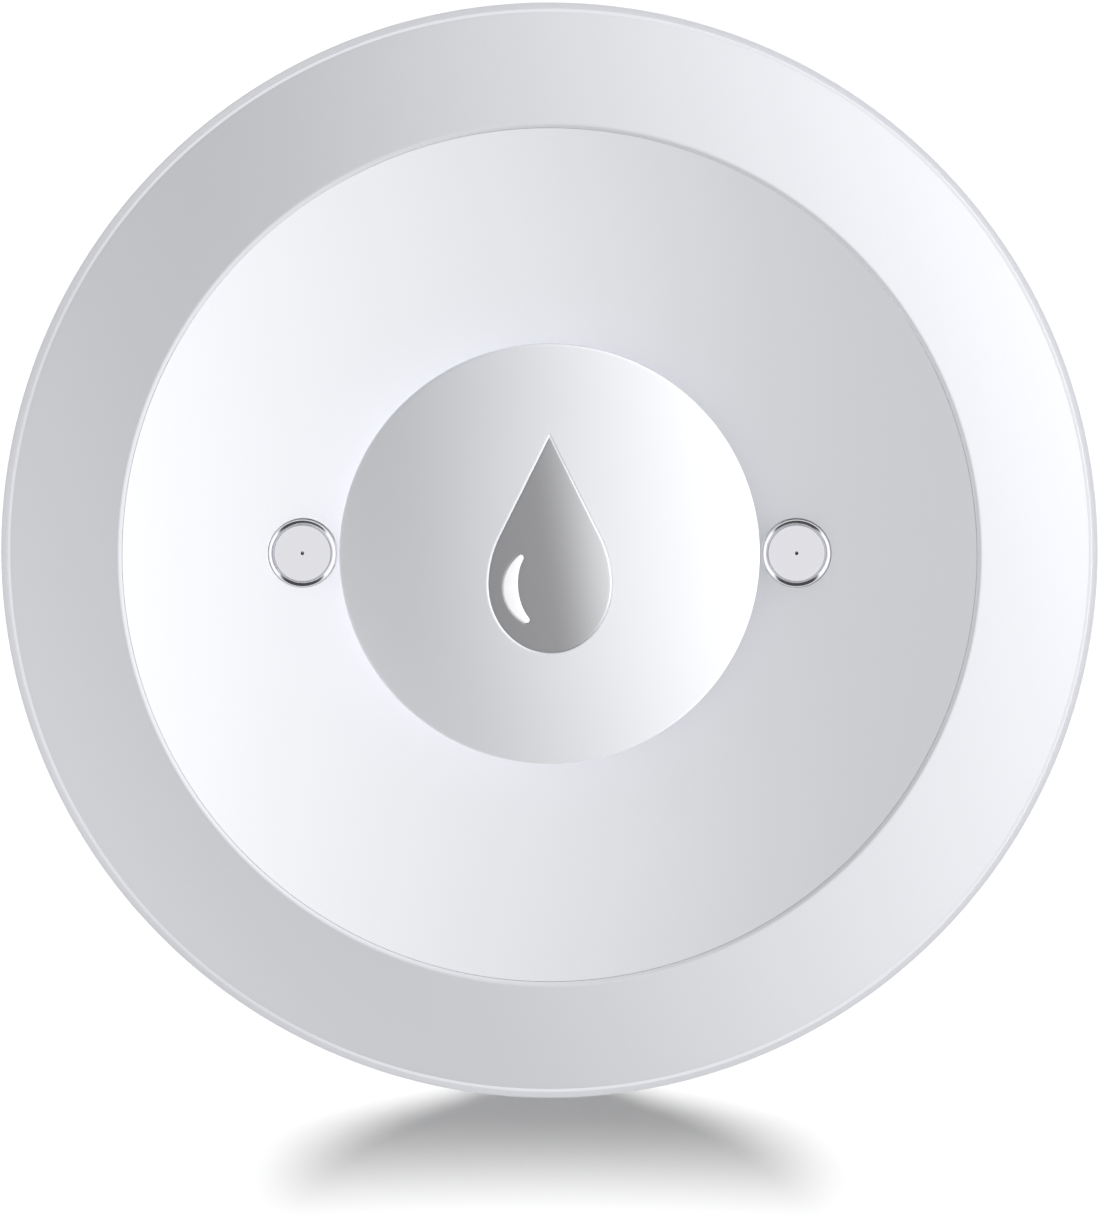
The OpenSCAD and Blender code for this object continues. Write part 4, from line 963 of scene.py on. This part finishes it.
class LEAK_OT_stage(bpy.types.Operator):
    """Make the floor, the soft lamps, the world and the camera"""
    bl_idname = "leak_sensor.stage"
    bl_label = "Make stage"

    def execute(self, context):
        scene, t = context.scene, context.scene.leak_stage
        scene.view_settings.view_transform = "Standard"
        half = 20.0
        corners = [(-half, -half, 0), (half, -half, 0), (half, half, 0), (-half, half, 0)]
        mesh = bpy.data.meshes.new("floor")
        mesh.from_pydata(corners, [], [(0, 1, 2, 3)])
        floor = bpy.data.objects.new("floor", mesh)
        scene.collection.objects.link(floor)
        mesh.materials.append(self.floor_board(scene.leak_colours.floor))
        self.lamps(scene, t)
        self.world(scene, t.world)

        lens = bpy.data.cameras.new("camera")
        lens.lens, lens.sensor_width = t.lens, 36.0
        lens.clip_start, lens.clip_end = 0.05, 100.0
        camera = bpy.data.objects.new("camera", lens)
        camera.location = (0, 0.03093, 0.6127)
        aim = Vector((0.000056, -0.00354, 0.0135))
        back = (camera.location - aim).normalized()
        right = Vector((0, 1, 0)).cross(back).normalized()
        camera.rotation_euler = Matrix((right, back.cross(right), back)).transposed().to_euler()
        scene.collection.objects.link(camera)
        scene.camera = camera
        return {"FINISHED"}

    def floor_board(self, shade):
        # Matt white backdrop board: even, with only the puck's shadow on it.
        made = bpy.data.materials.new("board_matt_white")
        made.use_nodes = True
        tree = made.node_tree
        tree.nodes.clear()
        pitch, depth = 3 * MM, 0.004 * MM
        place = add(tree, "ShaderNodeTexCoord").outputs["Object"]
        paper = add(tree, "ShaderNodeTexNoise", {"Scale": 1 / pitch}, {"Vector": place}).outputs["Fac"]
        bump = add(tree, "ShaderNodeBump", {"Distance": depth}, {"Height": paper}).outputs["Normal"]
        matt = add(tree, "ShaderNodeBsdfDiffuse", {"Color": shade}, {"Normal": bump}).outputs[0]
        add(tree, "ShaderNodeOutputMaterial", None, {"Surface": matt})
        return made

    def lamps(self, scene, t):
        """Soft lamps, each linked to the pieces that it lights, and one from straight above for the floor and
        the shadow on it. The base's own lamp is weaker, so that its upright wall keeps its tone."""
        inner = [node.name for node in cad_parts.values() if not node.hide_render]
        unlit = ["floor", "button_skirt", "press_membrane"] + inner
        button = ["button_dome", "drop_window", "glint_mark"]
        group = {}
        for name, state, members in (
                ("top", "EXCLUDE", unlit + ["base_bowl", "dish_tray"]),
                ("edge", "EXCLUDE", unlit + button + ["dish_tray"]),
                ("base", "INCLUDE", ["base_bowl"]), ("dish", "INCLUDE", ["dish_tray"]),
                ("button", "INCLUDE", button), ("floor", "INCLUDE", ["floor"]),
                ("shades", "INCLUDE", [self.lamp_shade(scene)]),
                ("flags", "INCLUDE", [self.floor_flag(scene)])):
            group[name] = self.light_group(name + " light", members, state)
        aim, away, wide, high = Vector((0, 0, 0.015)), 1.0, 0.45, 0.25
        # What a lamp lights, its bearing from +X and height in degrees, its strength on a face turned to it
        for number, (lights, bearing, height, strength) in enumerate((
                ("top", 14.3, 17.8, 1.175), ("base", 14.3, 17.8, 0.82), ("edge", 241.8, 14.8, 0.351),
                ("edge", 149.8, 50.9, 0.297), ("dish", 2, 17.8, 1.19), ("dish", 186, 14.8, 0.36),
                ("button", 241.8, 14.8, 0.26))):
            name = f"{lights} lamp {number}"
            a, e = math.radians(bearing), math.radians(height)
            lamp = bpy.data.lights.new(name, "AREA")
            lamp.shape, lamp.size, lamp.size_y = "RECTANGLE", wide, high
            lamp.energy = (math.pi * away) ** 2 * strength
            lit = bpy.data.objects.new(name, lamp)
            lit.location = aim + away * Vector((*on_circle(math.cos(e), a), math.sin(e)))
            lit.rotation_euler = (aim - lit.location).to_track_quat("-Z", "Y").to_euler()
            lit.visible_camera = lit.visible_glossy = False
            lit.light_linking.receiver_collection = group[lights]
            lit.light_linking.blocker_collection = group["shades"]
            scene.collection.objects.link(lit)
        sun = bpy.data.lights.new("floor lamp", "SUN")
        sun.energy, sun.angle = math.pi * t.floor_light, t.softness
        above = bpy.data.objects.new("floor lamp", sun)
        above.visible_glossy = False
        above.light_linking.receiver_collection = group["floor"]
        above.light_linking.blocker_collection = group["flags"]
        scene.collection.objects.link(above)

    def floor_flag(self, scene):
        """The flag that shades the floor from its lamp: a disc under the puck, drawn out to the front, and an
        arched card joined to it for the arched shadow, which no lamp and disc alone would throw."""
        disc_r, disc_grow, disc_z = 30.5 * MM, 2.3 * MM, 0.9 * MM
        verts = []
        for a in whole_turn(AROUND):
            verts.append((*on_circle(disc_r + disc_grow * max(0, -math.sin(a)) ** 4, a), disc_z))
        faces = [tuple(range(AROUND))]
        half, droop, join, join_w = 19.0 * MM, 0.6 * MM, 1.3 * MM, 0.2
        near_y, far_y, near_z, far_z = -33.5 * MM, -38.7 * MM, 1.2 * MM, 6.5 * MM
        for t in spread(-1, 1, 64):
            first, low_y = len(verts), far_y - droop * t * t
            top_y = near_y + (low_y - near_y) * t * t + join * math.exp(-(t / join_w) ** 2)
            verts += [(half * t, top_y, near_z + (far_z - near_z) * t * t), (half * t, low_y, far_z)]
            if first > AROUND:
                faces.append((first - 2, first - 1, first + 1, first))
        return self.unseen(scene, "floor_flag", verts, faces)

    def unseen(self, scene, name, verts, faces):
        """A stage piece that only blocks lamps."""
        mesh = bpy.data.meshes.new(name)
        mesh.from_pydata(verts, [], faces)
        made = bpy.data.objects.new(name, mesh)
        scene.collection.objects.link(made)
        made.visible_camera = made.visible_diffuse = made.visible_glossy = made.visible_transmission = False
        return made.name

    def light_group(self, name, members, state):
        """A group of objects that a lamp is linked to, or that it leaves out."""
        group = bpy.data.collections.new(name)
        for member in members:
            group.objects.link(bpy.data.objects[member])
        for member in group.collection_objects:
            member.light_linking.link_state = state
        return group

    def lamp_shade(self, scene):
        """A drum inside the casing, and walls in the gaps round the dish and the drip probes. Only they block
        the lamps, so that gaps and insides stay dark and no piece throws a shadow on another."""
        s, p = scene.leak_casing, scene.leak_probes
        drum_r, drum_low, drum_gap = s.body_r - s.wall - 4 * MM, 3.2 * MM, 0.1 * MM
        crest_h, seat_drop = 1 * MM, 0.03 * MM
        verts, faces = [], []

        def wall(x, y, r, low, high):
            first = len(verts)
            flat = [on_circle(r, a, x, y) for a in whole_turn(AROUND)]
            verts.extend((fx, fy, low) for fx, fy in flat)
            verts.extend((fx, fy, high(math.hypot(fx, fy))) for fx, fy in flat)
            faces.extend(band(first, first + AROUND, AROUND))
            return tuple(range(first + AROUND, first + 2 * AROUND))

        faces.append(wall(0, 0, drum_r, drum_low, lambda r: s.seam_z - drum_gap))
        wall(0, 0, s.crest_r - s.seam_gap / 2, s.crest_z - crest_h, lambda r: s.crest_z - CLEAR)
        for x, y in DRIP_PROBE_PLACES:
            wall(x, y, p.head_r + p.seat_gap / 2, DRIP_SEAT_Z, lambda r: dish_top(r) - seat_drop)
        return self.unseen(scene, "lamp_shade", verts, faces)

    def world(self, scene, strength):
        """An even weak light. The camera sees white. Reflections show white, brighter at both sides, with a
        dark card at front and back."""
        made = bpy.data.worlds.new("studio")
        made.use_nodes = True
        scene.world = made
        tree = made.node_tree
        tree.nodes.clear()
        path = add(tree, "ShaderNodeLightPath").outputs
        way = add(tree, "ShaderNodeTexCoord").outputs["Generated"]
        across = add(tree, "ShaderNodeSeparateXYZ", None, {0: way}).outputs
        depth = add(tree, "ShaderNodeMath", {"operation": "ABSOLUTE"}, {0: across["Y"]}).outputs[0]
        soft = {"interpolation_type": "SMOOTHSTEP", "To Min": 1.0}
        card = add(tree, "ShaderNodeMapRange", {**soft, "From Min": 0.58, "From Max": 0.74, "To Max": 0.08},
                   {"Value": depth}).outputs["Result"]
        side = add(tree, "ShaderNodeMath", {"operation": "ABSOLUTE"}, {0: across["X"]}).outputs[0]
        strip = add(tree, "ShaderNodeMapRange", {**soft, "From Min": 0.5, "From Max": 0.75, "To Max": 1.5},
                    {"Value": side}).outputs["Result"]
        cards = add(tree, "ShaderNodeMath", {"operation": "MULTIPLY"}, {0: card, 1: strip}).outputs[0]
        white = (1, 1, 1, 1)
        even = add(tree, "ShaderNodeBackground", {"Color": white, "Strength": strength}).outputs[0]
        shiny = add(tree, "ShaderNodeBackground", {"Color": white}, {"Strength": cards}).outputs[0]
        plain = add(tree, "ShaderNodeBackground", {"Color": white, "Strength": 1.0}).outputs[0]
        seen = add(tree, "ShaderNodeMath", {"operation": "MAXIMUM"},
                   {0: path["Is Camera Ray"], 1: path["Is Transmission Ray"]}).outputs[0]
        mixed = add(tree, "ShaderNodeMixShader", None,
                    {0: path["Is Glossy Ray"], 1: even, 2: shiny}).outputs[0]
        last = add(tree, "ShaderNodeMixShader", None, {0: seen, 1: mixed, 2: plain}).outputs[0]
        add(tree, "ShaderNodeOutputWorld", None, {"Surface": last})


OPERATORS = (LEAK_OT_casing, LEAK_OT_dish, LEAK_OT_button, LEAK_OT_probes, LEAK_OT_membrane, LEAK_OT_door,
             LEAK_OT_feet, LEAK_OT_inner_finishes, LEAK_OT_stage)
GROUPS = {"leak_casing": CasingSizes, "leak_button": ButtonSizes, "leak_probes": ProbeSizes,
          "leak_underside": UndersideSizes, "leak_colours": FinishColours, "leak_stage": StageSettings}


class LEAK_PT_panel(bpy.types.Panel):
    """Sizes, colours and pieces of the water leak sensor"""
    bl_idname = "LEAK_PT_panel"
    bl_label = "Water leak sensor"
    bl_space_type = "VIEW_3D"
    bl_region_type = "UI"
    bl_category = "Leak Sensor"

    def draw(self, context):
        for key, group in GROUPS.items():
            box = self.layout.box()
            box.label(text=group.__doc__.rstrip("."))
            for name in group.__annotations__:
                box.prop(getattr(context.scene, key), name)
        for operator in OPERATORS:
            self.layout.operator(operator.bl_idname)


CLASSES = (*GROUPS.values(), *OPERATORS, LEAK_PT_panel)


def register():
    """Registers the classes and gives each scene the settings."""
    for kind in CLASSES:
        bpy.utils.register_class(kind)
    for key, group in GROUPS.items():
        setattr(bpy.types.Scene, key, PointerProperty(type=group))


def unregister():
    """Takes the settings and the classes away again."""
    for key in GROUPS:
        delattr(bpy.types.Scene, key)
    for kind in reversed(CLASSES):
        bpy.utils.unregister_class(kind)


def main():
    """Makes every piece and the stage."""
    register()
    for operator in OPERATORS:
        group, name = operator.bl_idname.split(".")
        getattr(getattr(bpy.ops, group), name)()


if __name__ == "__main__":
    main()
